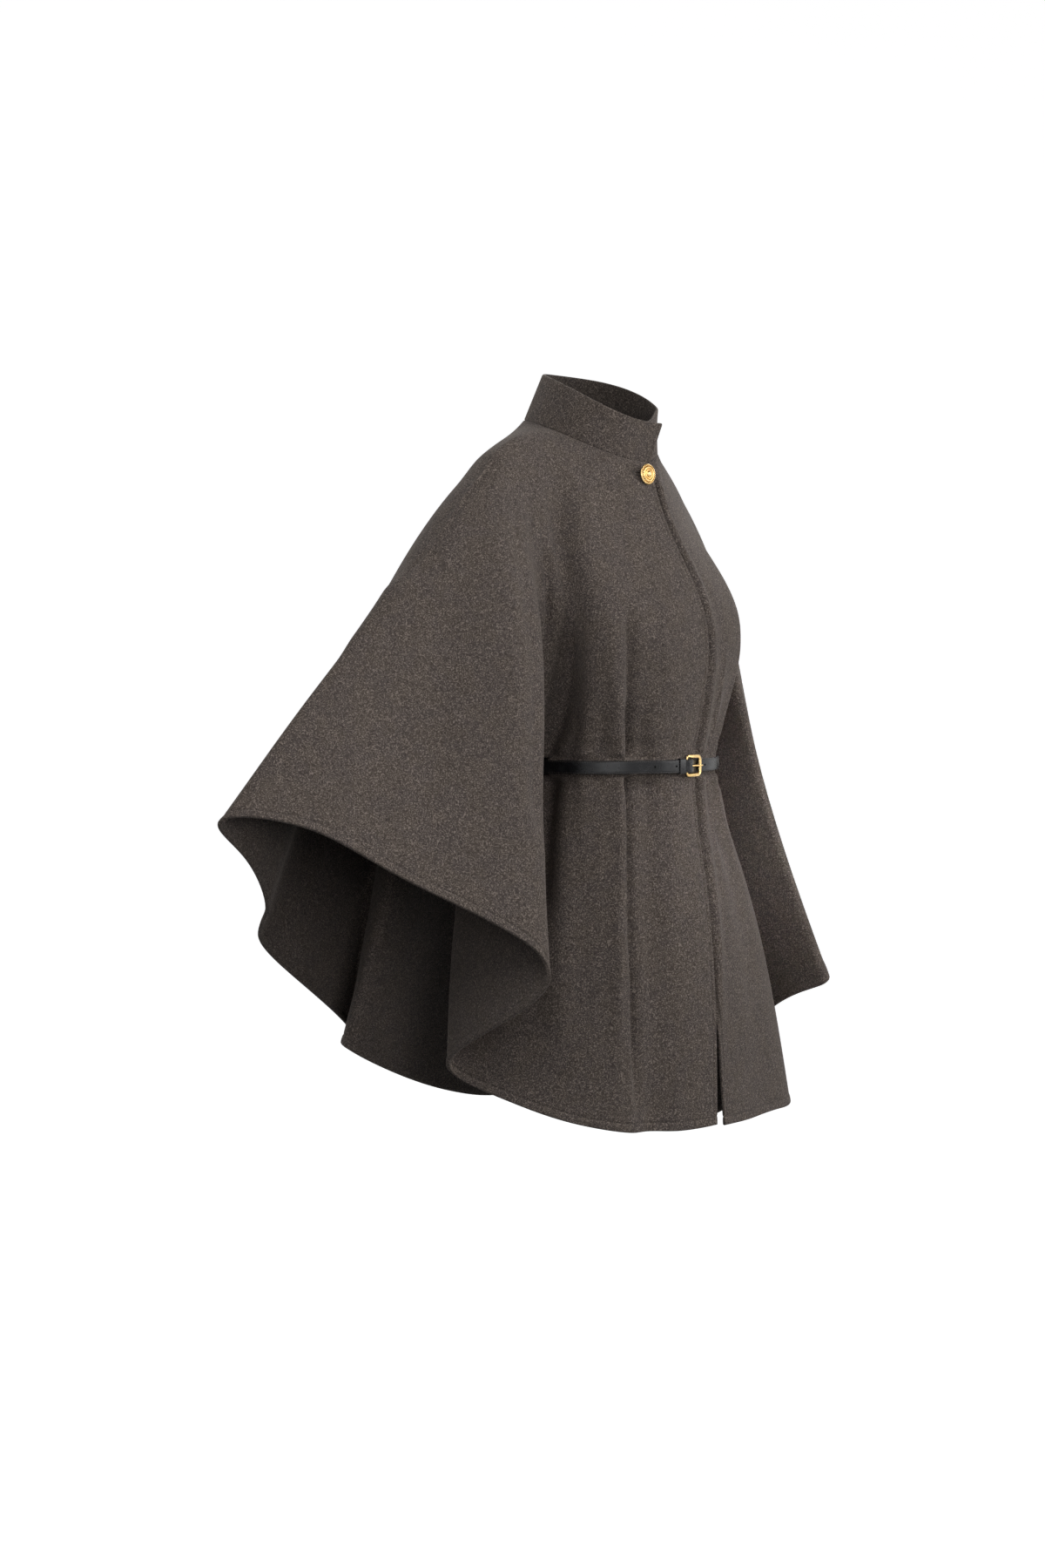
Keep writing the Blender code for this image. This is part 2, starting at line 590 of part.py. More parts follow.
def make_belt(ring, material):
    """Strap of the belt, slotted at the heel bar and at the prong."""
    route = belt_route(ring)
    path = np.array([ring.place(along, off, 0.0) for along, off in route])
    ahead = np.gradient(path, axis=0)
    ahead /= np.linalg.norm(ahead, axis=1, keepdims=True)
    out = np.cross(ahead, (0.0, 0.0, -1.0))
    half = BELT_WIDTH / 2.0
    slot = PRONG_SLOT_HEIGHT / 2.0
    levels = np.array((half, slot, -slot, -half))
    taper = np.ones(len(route))
    left = route[:, 0] - (TAIL_END - ring.length)
    tip = left < TAIL_POINT
    taper[tip] = 0.35 + 0.65 * np.sqrt(np.clip(left[tip] / TAIL_POINT, 0.0, 1.0))
    rise = np.array([levels * t for t in taper])
    spine = np.repeat(path[:, None], len(levels), axis=1)
    spine[:, :, 2] += rise
    outer = spine + 0.5 * LEATHER * out[:, None]
    inner = spine - 0.5 * LEATHER * out[:, None]
    bar = -FRAME_WIDTH / 2.0 + HEEL_BAR
    in_tail = np.arange(len(route)) > len(route) // 2

    def is_open(i, j):
        if j != 1:
            return False
        along = 0.5 * (route[i, 0] + route[i + 1, 0])
        if in_tail[i]:
            return PRONG_SLOT[0] < along + ring.length < PRONG_SLOT[1]
        return along > bar - HEEL_SLOT

    return make_wall("belt", outer, inner, material, is_open)


def tube(name, path, radii, sides, material, closed):
    """Round bar along a path with a radius at each point."""
    path = np.array(path, float)
    count = len(path)
    if closed:
        ahead = np.roll(path, -1, axis=0) - np.roll(path, 1, axis=0)
    else:
        ahead = np.gradient(path, axis=0)
    ahead /= np.linalg.norm(ahead, axis=1, keepdims=True)
    reference = np.cross(ahead[0], ahead[count // 3])
    if np.linalg.norm(reference) < 1e-6:
        reference = np.array((0.0, 0.0, 1.0))
    reference /= np.linalg.norm(reference)
    vertices = []
    for point, way, radius in zip(path, ahead, radii):
        first = reference - way * np.dot(reference, way)
        first /= np.linalg.norm(first)
        second = np.cross(way, first)
        for k in range(sides):
            angle = 2.0 * math.pi * k / sides
            vertices.append(point + radius * (math.cos(angle) * first + math.sin(angle) * second))
    faces = []
    for i in range(count if closed else count - 1):
        for k in range(sides):
            a, b = i * sides + k, i * sides + (k + 1) % sides
            c, d = ((i + 1) % count) * sides + k, ((i + 1) % count) * sides + (k + 1) % sides
            faces.append((a, b, d, c))
    if not closed:
        faces.append(tuple(range(sides)))
        faces.append(tuple(reversed(range((count - 1) * sides, count * sides))))
    made = make_object(name, vertices, faces, material)
    face_out(made)
    return made


def make_frame(ring, material):
    """Buckle frame: a rounded rectangle of round bar, thinner where the strap turns round it."""
    half_width = FRAME_WIDTH / 2.0 - FRAME_BAR
    half_height = FRAME_HEIGHT / 2.0 - FRAME_BAR
    heel = -FRAME_WIDTH / 2.0 + HEEL_BAR
    corners = ((1, 1, 0), (-1, 1, 90), (-1, -1, 180), (1, -1, 270))
    path, radii = [], []
    for side, top, start in corners:
        reach = half_width if side > 0 else -heel
        corner = (FRAME_FRONT_CORNER if side > 0 else FRAME_HEEL_CORNER) - FRAME_BAR
        for step in range(5):
            angle = math.radians(start + 22.5 * step)
            along = side * (reach - corner) + corner * math.cos(angle)
            z = top * (half_height - corner) + corner * math.sin(angle)
            path.append(ring.place(along, FRAME_OFF, z))
            blend = min(1.0, max(0.0, (along - heel) / corner))
            radii.append(HEEL_BAR + (FRAME_BAR - HEEL_BAR) * blend)
    return tube("buckle_frame", path, radii, 10, material, True)


def make_prong(ring, material):
    """Prong: an eye round the heel bar and a pin that rests on the front bar."""
    bar = -FRAME_WIDTH / 2.0 + HEEL_BAR
    eye = HEEL_BAR + SEAM_GAP + PRONG_RADIUS
    route = []
    for degrees in (330, 290, 250, 210, 170, 130, 95):
        angle = math.radians(degrees)
        route.append((bar + eye * math.cos(angle), FRAME_OFF + eye * math.sin(angle)))
    tip_off = FRAME_OFF + FRAME_BAR + SEAM_GAP + PRONG_RADIUS
    front = FRAME_WIDTH / 2.0 - FRAME_BAR
    route += [(bar + 3.2, FRAME_OFF + 1.9), (bar + 8.0, FRAME_OFF + 1.6), (4.0, tip_off - 0.8),
              (front, tip_off), (front + 2.2, tip_off - 0.3)]
    path = [ring.place(along, off, 0.0) for along, off in route]
    radii = [PRONG_RADIUS] * (len(route) - 1) + [0.6 * PRONG_RADIUS]
    return tube("buckle_prong", path, radii, 8, material, False)


def make_keeper(ring, material):
    """Keeper: a flat leather loop round the strap and its tail, beside the buckle."""
    main = BELT_OFF + LEATHER + KEEPER_WALL + 2.0 * SEAM_GAP
    low = main - 0.5 * LEATHER - SEAM_GAP
    high = main + 1.5 * LEATHER + 2.0 * SEAM_GAP
    half = 0.5 * BELT_WIDTH + SEAM_GAP
    rounding = 0.8
    hole = []
    for off, z, start in ((high, half, 0), (low, half, 90), (low, -half, 180), (high, -half, 270)):
        side = 1.0 if off == high else -1.0
        top = 1.0 if z > 0 else -1.0
        for step in range(3):
            angle = math.radians(start + 45.0 * step)
            hole.append((off - side * rounding, z - top * rounding, angle))
    outer, inner = [], []
    for off, z, angle in hole + hole[:1]:
        inside = (off + rounding * math.cos(angle), z + rounding * math.sin(angle))
        reach = rounding + KEEPER_WALL
        outside = (off + reach * math.cos(angle), z + reach * math.sin(angle))
        outer.append([ring.place(along, *outside) for along in KEEPER_ALONG])
        inner.append([ring.place(along, *inside) for along in KEEPER_ALONG])
    count = len(hole)
    vertices = []
    for k in range(count):
        vertices += [outer[k][0], outer[k][1], inner[k][1], inner[k][0]]
    faces = []
    for k in range(count):
        a, b = 4 * k, 4 * ((k + 1) % count)
        for step in range(4):
            following = (step + 1) % 4
            faces.append((a + step, a + following, b + following, b + step))
    made = make_object("belt_keeper", vertices, faces, material)
    face_out(made)
    return made


def make_material(name, colour, roughness, metallic):
    material = bpy.data.materials.new(name)
    material.use_nodes = True
    shader = material.node_tree.nodes["Principled BSDF"]
    shader.inputs["Base Color"].default_value = (*colour, 1.0)
    shader.inputs["Roughness"].default_value = roughness
    shader.inputs["Metallic"].default_value = metallic
    return material


def main():
    for old in list(bpy.data.objects):
        bpy.data.objects.remove(old, do_unlink=True)
    wool = make_material("wool", (0.084, 0.067, 0.058), 0.95, 0.0)
    leather = make_material("leather", (0.012, 0.012, 0.013), 0.45, 0.0)
    brass = make_material("brass", (0.83, 0.58, 0.24), 0.25, 1.0)
    for name, (columns, slit) in panel_places().items():
        make_panel(name, columns, slit, wool)
    make_collar(wool)
    make_button(brass)
    ring = BeltRing()
    make_belt(ring, leather)
    make_keeper(ring, leather)
    make_frame(ring, brass)
    make_prong(ring, brass)


main()
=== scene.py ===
"""Look of the belted wool cape: cloth with its folds and sewing, belt, buckle, button and studio.

The wearer faces -Y, +X is the wearer's left and +Z is up. Tables and named sizes are in
millimetres where no heading says metres, and MM turns them into the metres of the model.
A line place counts the cape's lines from the right front edge, and a station is a share of the
way from the neck to the hem.
"""
import math
from collections import namedtuple

import bpy
import numpy as np
from mathutils import Matrix


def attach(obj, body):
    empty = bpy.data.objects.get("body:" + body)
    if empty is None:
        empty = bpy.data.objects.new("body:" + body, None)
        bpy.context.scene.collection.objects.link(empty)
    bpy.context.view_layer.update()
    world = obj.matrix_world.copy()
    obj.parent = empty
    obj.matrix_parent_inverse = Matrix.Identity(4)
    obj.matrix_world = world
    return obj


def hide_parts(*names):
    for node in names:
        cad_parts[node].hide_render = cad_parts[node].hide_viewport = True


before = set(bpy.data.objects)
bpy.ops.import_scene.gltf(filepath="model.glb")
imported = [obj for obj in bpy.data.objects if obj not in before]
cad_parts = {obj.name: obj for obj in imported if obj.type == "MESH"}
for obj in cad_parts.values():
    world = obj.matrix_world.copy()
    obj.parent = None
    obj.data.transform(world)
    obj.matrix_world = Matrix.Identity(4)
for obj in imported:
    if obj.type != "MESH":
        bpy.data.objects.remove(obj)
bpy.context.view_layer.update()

MM = 0.001
UP = np.array((0.0, 0.0, 1.0))

# Cloth and leather
WOOL_WALL = 3.0
COLLAR_WALL = 4.0
LEATHER = 1.6
SEAM_GAP = 0.3
SEAM_LAP = 0.5

# Neck seam and top edge of the stand collar
NECK_RADIUS = 80.0
NECK_CENTRE_Y = 10.0
NECK_HEIGHT = (-12.9, -27.5, -5.6)
COLLAR_TOP_RADIUS = 71.0
COLLAR_TOP_CENTRE_Y = -7.0
COLLAR_TOP_HEIGHT = (37.0, -31.5, -5.0)
COLLAR_END_LEAN = 11.0
COLLAR_END_DROP = 1.0

# Yoke: the shoulder ring a hand's width below the neck
YOKE_HALF_WIDTH = 152.0
YOKE_FRONT = 104.0
YOKE_BACK = 111.0
YOKE_FRONT_Z = -118.0
YOKE_BACK_Z = -64.0
YOKE_SIDE_Z = {"right": -24.0, "left": -69.0}
YOKE_FRONT_SHAPE = 1.45

# Waist ring under the belt
WAIST_Z = -400.0
WAIST_CENTRE_Y = -30.0
WAIST_HALF_WIDTH = 135.0
WAIST_FRONT = 109.0
WAIST_BACK = 106.0

# The cape's lines from the neck to the hem, as its solids have them
Line = namedtuple("Line", "name chest waist hem")
WAIST_STATION = 0.47
STATIONS = (0.0, 0.12, 0.27, WAIST_STATION, 1.0)
NECK_TURNS = (-10, 20, 34, 46, 54, 60, 65, 70, 75, 81, 87, 93, 100, 108, 116, 124, 132, 140, 148, 157,
              168, 180)
YOKE_TURNS = (-2, 17, 33, *NECK_TURNS[3:])
BELTED_LINES = 5
SLIT_LINE = 5
SLIT_HOLD = 0.5
SEAM_LINE = 11
HIP_STATION = 0.64
HIP_SWELL = 5.0

RIGHT_LINES = (
    Line("front edge", (-13, -153, -235), (-11, 0, -400), (4, -183, -815)),
    Line("front middle", (60, -145, -235), (42, 0, -400), (60, -165, -817)),
    Line("pleat trough", (92, -131, -235), (64, 11, -400), (92, -149, -815)),
    Line("pleat ridge", (121, -115, -235), (88, 0, -400), (120, -146, -813)),
    Line("front side", (140, -88, -240), (122, 0, -400), (180, -105, -798)),
    Line("belt slit", (152, -66, -240), (137.4, -23, -400), (228, -44, -771)),
    Line("side valley", (160, -50, -240), (182, 8, -405), (252, 12, -741)),
    Line("valley to ridge", (195, -68, -232), (225, -62, -407), (285, -95, -675)),
    Line("sleeve ridge", (235, -100, -225), (272, -140, -410), (297, -171, -606)),
    Line("sleeve front", (290, -45, -215), (350, -62, -360), (420, -79, -511)),
    Line("sleeve top", (322, -12, -205), (410, -15, -338), (510, -13, -452)),
    Line("over arm", (343, 17, -201), (460, 30, -319), (572, 43, -442)),
    Line("arm back", (338, 36, -206), (446, 49, -340), (566, 58, -454)),
    Line("sleeve back", (322, 68, -226), (413, 76, -372), (517, 68, -490)),
    Line("back scoop", (300, 91, -242), (381, 101, -397), (457, 99, -554)),
    Line("back swell", (268, 107, -252), (342, 129, -418), (424, 144, -587)),
    Line("swell to fold", (230, 114, -252), (278, 140, -422), (340, 162, -646)),
    Line("back fold", (190, 118, -248), (215, 142, -415), (228, 190, -718)),
    Line("back valley", (160, 111, -245), (222, 95, -408), (300, 131, -720)),
    Line("back panel", (105, 118, -242), (120, 116, -406), (200, 133, -767)),
    Line("back middle", (52, 124, -238), (56, 127, -405), (90, 140, -801)),
    Line("centre back", (0, 126, -236), (0, 131, -405), (0, 150, -815)),
)

LEFT_LINES = (
    Line("front edge", (-12, -153, -235), (-9, 0, -400), (12, -181, -818)),
    Line("front middle", (60, -145, -235), (42, 0, -400), (68, -173, -820)),
    Line("pleat trough", (94, -135, -235), (64, 6, -400), (105, -166, -820)),
    Line("pleat ridge", (124, -118, -230), (88, 0, -400), (154, -158, -820)),
    Line("front side", (138, -88, -240), (122, 0, -400), (209, -137, -818)),
    Line("belt slit", (145, -66, -240), (137.4, -23, -400), (230, -74, -812)),
    Line("side valley", (148, -50, -240), (172, 2, -405), (207, -23, -847)),
    Line("valley to ridge", (152, -58, -240), (176, -52, -406), (234, -84, -718)),
    Line("sleeve ridge", (158, -72, -242), (177, -106, -405), (240, -170, -672)),
    Line("sleeve front", (206, -48, -238), (238, -62, -402), (311, -90, -625)),
    Line("sleeve top", (248, -14, -232), (294, -18, -392), (370, -28, -576)),
    Line("over arm", (276, 13, -230), (332, 28, -388), (406, 40, -551)),
    Line("arm back", (272, 36, -236), (326, 50, -396), (400, 60, -562)),
    Line("sleeve back", (260, 66, -245), (314, 78, -410), (376, 80, -590)),
    Line("back scoop", (246, 89, -250), (296, 103, -420), (348, 108, -630)),
    Line("back swell", (228, 104, -253), (274, 129, -425), (327, 146, -668)),
    Line("swell to fold", (206, 113, -252), (238, 140, -424), (277, 163, -700)),
    Line("back fold", (180, 117, -248), (198, 142, -415), (207, 188, -742)),
    Line("back valley", (155, 113, -245), (182, 92, -408), (262, 132, -748)),
    Line("back panel", (105, 118, -242), (118, 116, -406), (185, 134, -782)),
    Line("back middle", (52, 124, -238), (56, 127, -405), (90, 141, -808)),
)
LEFT_EDGE = len(RIGHT_LINES) + len(LEFT_LINES) - 1
LEFT_SEAM = LEFT_EDGE - SEAM_LINE
LEFT_SLIT = LEFT_EDGE - SLIT_LINE
FRONT_EDGES = (0.0, float(LEFT_EDGE))
LEFT_INSET = (6.0, 4.0, 1.5)

# Where the belt presses the cloth flat and sinks it beside itself, and the slits it goes through
BELT_FLAT = 0.0155
BELT_BLEND = 0.045
PRESS_FLAT = 0.0098
PRESS_BLEND = 0.021
CINCH_AT = 0.011
CINCH_FLAT = 0.002
CINCH_BLEND = 0.0095
CINCH_BELOW = 2.8
CINCH_ABOVE = 1.5
SLIT_HALF_COLUMN = 0.16
SLIT_ROWS = (0.4555, 0.4855)

# Rows and columns of the cloth: steps from the edges, and even spacing between them
NECK_STEPS = (0.0, 0.25, 0.7, 1.4, 2.4, 3.8, 5.8, 8.5, 12.0)
HEM_STEPS = (17.0, 13.0, 11.5, 10.7, 10.1, 9.5, 8.7, 7.4, 5.6, 3.6, 2.2, 1.3, 0.75, 0.35, 0.12, 0.0)
EDGE_STEPS = (0.0, 0.12, 0.35, 0.75, 1.3, 2.1, 3.3, 4.6, 5.4, 6.1, 6.8, 7.6, 9.0, 12.0)
SEAM_STEPS = (0.0, 0.25, 0.6, 1.1, 1.8, 3.0, 5.0, 8.0, 11.0, 14.0)
UPPER_ROWS = 58
LOWER_ROWS = 70
BELT_BAND = ((0.30, 25), (0.425, 14), (0.4555, 12), (0.4855, 14), (0.52, 16), (0.60, 1))
COLUMNS_PER_LINE = {"front_right": 15.5, "front_left": 15.5, "back": 9.2}
LINES_BEFORE_SLIT = 3.8
LINES_AFTER_SLIT = 4.8
SLIT_COLUMNS = 5
EDGE_REACH = 4.0
EDGE_SAMPLES = 161

# Steps for reading the form at one place
READ_LINE = 0.04
READ_STATION = 0.004

# Rounded bumps at a distance from an edge or a line
Bump = namedtuple("Bump", "height at width power", defaults=(2,))

# Sewing
HEM_STITCH = 10.1
EDGE_STITCH = 6.1
STITCH_DEPTH = 0.85
STITCH_WIDTH = 0.9
Stitch = namedtuple("Stitch", "pitch length radius")
WOOL_STITCH = Stitch(3.4, 2.5, 0.28)
STRAP_STITCH = Stitch(2.6, 1.9, 0.22)
STITCH_SECTIONS = ((-0.5, 0.25), (-0.36, 0.9), (0.36, 0.9), (0.5, 0.25))
STITCH_SIDES = 6
CUT_LIMIT = 0.8

# Edges and seams: what is left of the wall at the rim, swells beside them, and the tilt at the neck
EDGE_LEAST = 0.08
SEAM_LEAST = 0.2
SEAM_ROUND = 1.7
HEM_SWELL = Bump(0.8, 0.0, 8.5, 6)
FRONT_SWELL = Bump(0.48, 0.0, 5.0, 6)
SEAM_SWELL = Bump(0.7, 0.0, 3.5, 4)
BACK_SEAM_DIP = Bump(-0.9, 0.0, 9.0, 6)
SEAM_TILT = (0.8, 0.6)
NECK_EASE = ((0.0, 0.03, 0.07, 0.12), (1.0, 0.6, 0.25, 0.0))

# Creases: ridges up and troughs down, with the left front's lines counted from its own front edge
Crease = namedtuple("Crease", "name line station line_end station_end width height")
RIGHT_CREASES = (
    Crease("pleat edge", 3.14, 0.25, 3.28, 0.98, 9.0, 5.0),
    Crease("under the pleat", 2.15, 0.23, 3.00, 0.52, 7.0, -8.5),
    Crease("under the pleat low", 2.88, 0.40, 2.62, 1.02, 8.0, -11.5),
    Crease("pleat wedge", 2.50, 0.37, 2.98, 0.53, 8.0, -4.5),
    Crease("pleat line", 2.84, 0.36, 3.06, 0.80, 3.2, -6.0),
    Crease("side shade", 4.22, 0.08, 4.70, 0.47, 18.0, -18.0),
    Crease("side hollow", 4.80, 0.24, 4.93, 0.56, 10.0, -15.0),
    Crease("side hollow below", 4.76, 0.44, 4.66, 0.74, 12.0, -15.0),
    Crease("side swell below", 4.36, 0.46, 4.22, 0.95, 20.0, 6.5),
    Crease("sleeve edge above", 8.0, 0.10, 8.05, 0.64, 20.0, -11.0),
    Crease("sleeve edge", 8.0, 0.40, 8.05, 1.30, 17.0, -3.0),
    Crease("under the chest", 1.15, 0.20, 1.75, 0.40, 20.0, -3.0),
    Crease("lap edge", 0.0, -0.60, 0.0, 2.40, 9.0, -1.5),
    Crease("button pull", 1.15, 0.020, 4.4, 0.085, 8.0, 1.1),
    Crease("button pull low", 1.1, 0.050, 3.4, 0.165, 9.0, 1.0),
    Crease("shoulder slope", 11.0, 0.145, 11.0, 0.270, 28.0, -6.5),
    Crease("arm swell", 11.0, 0.24, 11.0, 0.37, 34.0, 2.0),
    Crease("arm fold", 10.30, 0.14, 10.78, 0.33, 3.5, 2.4),
    Crease("shoulder tuck", 9.72, 0.150, 9.80, 0.200, 3.5, -2.2),
    Crease("belt gather", 0.85, 0.37, 0.75, 0.50, 7.0, -1.6),
    Crease("belt gather", 1.55, 0.33, 1.45, 0.50, 8.0, 1.6),
    Crease("belt gather", 2.05, 0.39, 2.10, 0.50, 6.0, -1.3),
    Crease("belt gather at slit", 3.58, 0.37, 3.68, 0.52, 6.0, -3.0),
    Crease("belt gather at slit", 3.90, 0.36, 4.10, 0.51, 7.0, 2.2),
    Crease("belt gather at slit", 4.20, 0.38, 4.45, 0.51, 6.0, -2.4),
    Crease("belt gather below", 0.95, 0.44, 1.15, 0.60, 7.0, -1.4),
    Crease("belt gather below", 2.15, 0.43, 2.10, 0.58, 7.0, 1.5),
    Crease("belt gather below", 4.05, 0.43, 3.90, 0.62, 7.0, 2.0),
    Crease("long skirt swell", 1.75, 0.56, 1.95, 1.25, 26.0, -2.6),
    Crease("sleeve drag", 9.3, 0.20, 8.9, 0.74, 18.0, -1.6),
    Crease("sleeve drag low", 10.1, 0.46, 9.8, 1.05, 22.0, 1.8),
)
LEFT_CREASES = (
    Crease("pleat edge", 2.70, 0.28, 2.95, 0.66, 7.0, 2.6),
    Crease("under the pleat", 2.98, 0.31, 3.22, 0.53, 7.5, -3.2),
    Crease("side shade", 4.1, 0.16, 4.6, 0.55, 24.0, -5.0),
    Crease("sleeve edge", 8.0, 0.17, 7.95, 1.30, 13.0, 2.6),
    Crease("belt gather", 1.25, 0.36, 1.35, 0.50, 7.5, 1.7),
    Crease("belt gather", 1.95, 0.40, 1.90, 0.50, 6.5, -1.6),
    Crease("belt gather below", 1.60, 0.43, 1.75, 0.63, 8.0, -1.9),
    Crease("belt gather below", 3.55, 0.43, 3.45, 0.57, 7.0, 1.6),
    Crease("sleeve drag", 9.6, 0.24, 9.1, 0.68, 16.0, -2.0),
    Crease("sleeve drag low", 9.9, 0.55, 10.2, 0.98, 20.0, 2.0),
)
BACK_CREASES = (
    Crease("shoulder slope", 11.0, 0.145, 11.0, 0.270, 70.0, -6.5),
    Crease("arm swell", 11.0, 0.24, 11.0, 0.37, 34.0, 2.0),
    Crease("right arm drag", 12.6, 0.17, 13.6, 0.58, 15.0, -2.4),
    Crease("right scoop swell", 14.6, 0.36, 14.2, 1.20, 24.0, 2.6),
    Crease("right fold edge", 17.0, 0.30, 17.1, 1.30, 14.0, 3.2),
    Crease("right fold side", 17.6, 0.42, 17.5, 0.92, 13.0, -2.6),
    Crease("shoulder drag", 18.2, 0.10, 19.3, 0.40, 16.0, -2.0),
    Crease("centre trough", 20.6, 0.26, 20.2, 0.84, 26.0, -3.0),
    Crease("centre swell", 21.9, 0.38, 22.3, 1.15, 24.0, 2.4),
    Crease("shoulder drag", 23.9, 0.12, 22.7, 0.47, 18.0, -2.2),
    Crease("left fold side", 24.7, 0.36, 24.6, 0.80, 12.0, -2.4),
    Crease("left fold edge", 25.1, 0.33, 25.0, 1.30, 15.0, 3.0),
    Crease("left scoop swell", 27.9, 0.30, 28.3, 1.10, 20.0, -2.4),
    Crease("left arm drag", 29.7, 0.20, 29.0, 0.66, 15.0, 2.0),
)
CREASES = {"front_right": RIGHT_CREASES, "front_left": LEFT_CREASES, "back": BACK_CREASES}
CREASE_START = 0.22
CREASE_END = 0.3

# The left front beside the edge that laps over it: a groove under the edge and a swell beyond it
LAP_GROOVE = Bump(-10.0, 6.0, 3.2)
LAP_SWELL = Bump(5.0, 15.0, 8.5)
LAP_STATIONS = (0.0, 0.06, 0.72, 0.90)
LAP_REACH = 1.5
LAP_SAMPLES = 61


def ring_height(turn, height):
    """Height of a ring that falls from the back to the front, at a turn in degrees."""
    angle = np.radians(turn)
    return height[0] + height[1] * np.cos(angle) + height[2] * np.cos(2.0 * angle)


def neck_point(turn, inset):
    """Point of the neck seam as (out, back, up)."""
    angle = math.radians(turn)
    radius = NECK_RADIUS - inset
    return (radius * math.sin(angle), NECK_CENTRE_Y - radius * math.cos(angle),
            float(ring_height(turn, NECK_HEIGHT)))


def yoke_point(turn, inset, side):
    """Point of the shoulder ring as (out, back, up)."""
    sine, cosine = math.sin(math.radians(turn)), math.cos(math.radians(turn))
    front = cosine > 0.0
    shape = YOKE_FRONT_SHAPE if front else 1.0
    depth = YOKE_FRONT - inset if front else YOKE_BACK
    fall = cosine * cosine * (3.0 - 2.0 * cosine) if front else cosine * cosine
    drop = (YOKE_FRONT_Z if front else YOKE_BACK_Z) - YOKE_SIDE_Z[side]
    return (math.copysign(YOKE_HALF_WIDTH * abs(sine) ** shape, sine),
            -math.copysign(depth * abs(cosine) ** shape, cosine),
            YOKE_SIDE_Z[side] + drop * fall)


def waist_ring_y(out):
    """Front of the waist ring at a distance to the side."""
    return WAIST_CENTRE_Y - WAIST_FRONT * math.sqrt(1.0 - (out / WAIST_HALF_WIDTH) ** 2)


def hip_point(waist, hem):
    """Point on the way from the waist to the hem, a little outside the straight way."""
    share = (HIP_STATION - WAIST_STATION) / (1.0 - WAIST_STATION)
    hip = np.array(waist) + share * (np.array(hem) - np.array(waist))
    out = hip[:2] - np.array((0.0, WAIST_CENTRE_Y))
    hip[:2] += HIP_SWELL * out / np.linalg.norm(out)
    return hip


def line_points(index, line, side):
    """Stations of one line and its points there, on its own side of the body."""
    inset = LEFT_INSET[index] if side == "left" and index < len(LEFT_INSET) else 0.0
    stations = list(STATIONS)
    waist = line.waist
    if index < BELTED_LINES:
        waist = (waist[0], waist_ring_y(waist[0]) + waist[1] + inset, waist[2])
    chest = (line.chest[0], line.chest[1] + inset, line.chest[2])
    points = [neck_point(NECK_TURNS[index], inset), yoke_point(YOKE_TURNS[index], inset, side),
              chest, waist, line.hem]
    if index <= SLIT_LINE:
        stations.insert(-1, HIP_STATION)
        points.insert(-1, hip_point(waist, line.hem))
    points = np.array(points, float)
    points[:, 0] *= 1.0 if side == "left" else -1.0
    return np.array(stations), points


def cape_lines():
    """Every line, from the right front edge round the back to the left front edge."""
    right = [line_points(i, line, "right") for i, line in enumerate(RIGHT_LINES)]
    left = [line_points(i, line, "left") for i, line in enumerate(LEFT_LINES)]
    return right + left[::-1]


def belted_weights():
    """How firmly the belt holds each line."""
    right = [1.0] * BELTED_LINES + [SLIT_HOLD] + [0.0] * (len(RIGHT_LINES) - BELTED_LINES - 1)
    left = right[:len(LEFT_LINES)]
    return np.array(right + left[::-1])


def knot_before(knots, at):
    """Index of the last knot before each place."""
    return np.clip(np.searchsorted(knots, at, side="right") - 1, 0, len(knots) - 2)


def cubic(knots, values, at):
    """Natural cubic spline through the values at the knots, read at other places."""
    count = len(knots)
    step = np.diff(knots)
    matrix = np.zeros((count, count))
    matrix[0, 0] = matrix[-1, -1] = 1.0
    right_side = np.zeros(values.shape)
    for i in range(1, count - 1):
        matrix[i, i - 1:i + 2] = step[i - 1], 2.0 * (step[i - 1] + step[i]), step[i]
        right_side[i] = 6.0 * ((values[i + 1] - values[i]) / step[i]
                               - (values[i] - values[i - 1]) / step[i - 1])
    bend = np.linalg.solve(matrix, right_side)
    k = knot_before(knots, at)
    width = step[k][:, None]
    before = (knots[k + 1] - at)[:, None] / width
    after = 1.0 - before
    return (before * values[k] + after * values[k + 1]
            + ((before ** 3 - before) * bend[k] + (after ** 3 - after) * bend[k + 1]) * width ** 2 / 6.0)


def monotone(knots, values, at):
    """Rising smooth curve through the values at the knots, read at other places."""
    step = np.diff(knots)
    slope = np.diff(values) / step
    inner = 2.0 * slope[:-1] * slope[1:] / (slope[:-1] + slope[1:])
    tangent = np.concatenate((slope[:1], inner, slope[-1:]))
    k = knot_before(knots, at)
    t = (at - knots[k]) / step[k]
    return (values[k] * (1.0 + 2.0 * t) * (1.0 - t) ** 2 + values[k + 1] * t * t * (3.0 - 2.0 * t)
            + step[k] * (tangent[k] * t * (1.0 - t) ** 2 - tangent[k + 1] * t * t * (1.0 - t)))


def smooth(t):
    """Smooth step from 0 to 1."""
    t = np.clip(t, 0.0, 1.0)
    return t * t * (3.0 - 2.0 * t)


def belt_flattened(stations):
    """Stations whose place is drawn towards the waist, so that the belt holds a flat band."""
    away = stations - WAIST_STATION
    return WAIST_STATION + away * smooth((np.abs(away) - BELT_FLAT) / (BELT_BLEND - BELT_FLAT))


def belt_hold(columns, rows, flat=BELT_FLAT, blend=BELT_BLEND):
    """How firmly the belt holds each grid point inside the waist ring, from 0 to 1."""
    from_edge = np.minimum(columns, LEFT_EDGE - columns)
    across = np.clip((SLIT_LINE - from_edge) / SLIT_HALF_COLUMN, 0.0, 1.0)
    return across * (1.0 - smooth((np.abs(rows - WAIST_STATION) - flat) / (blend - flat)))


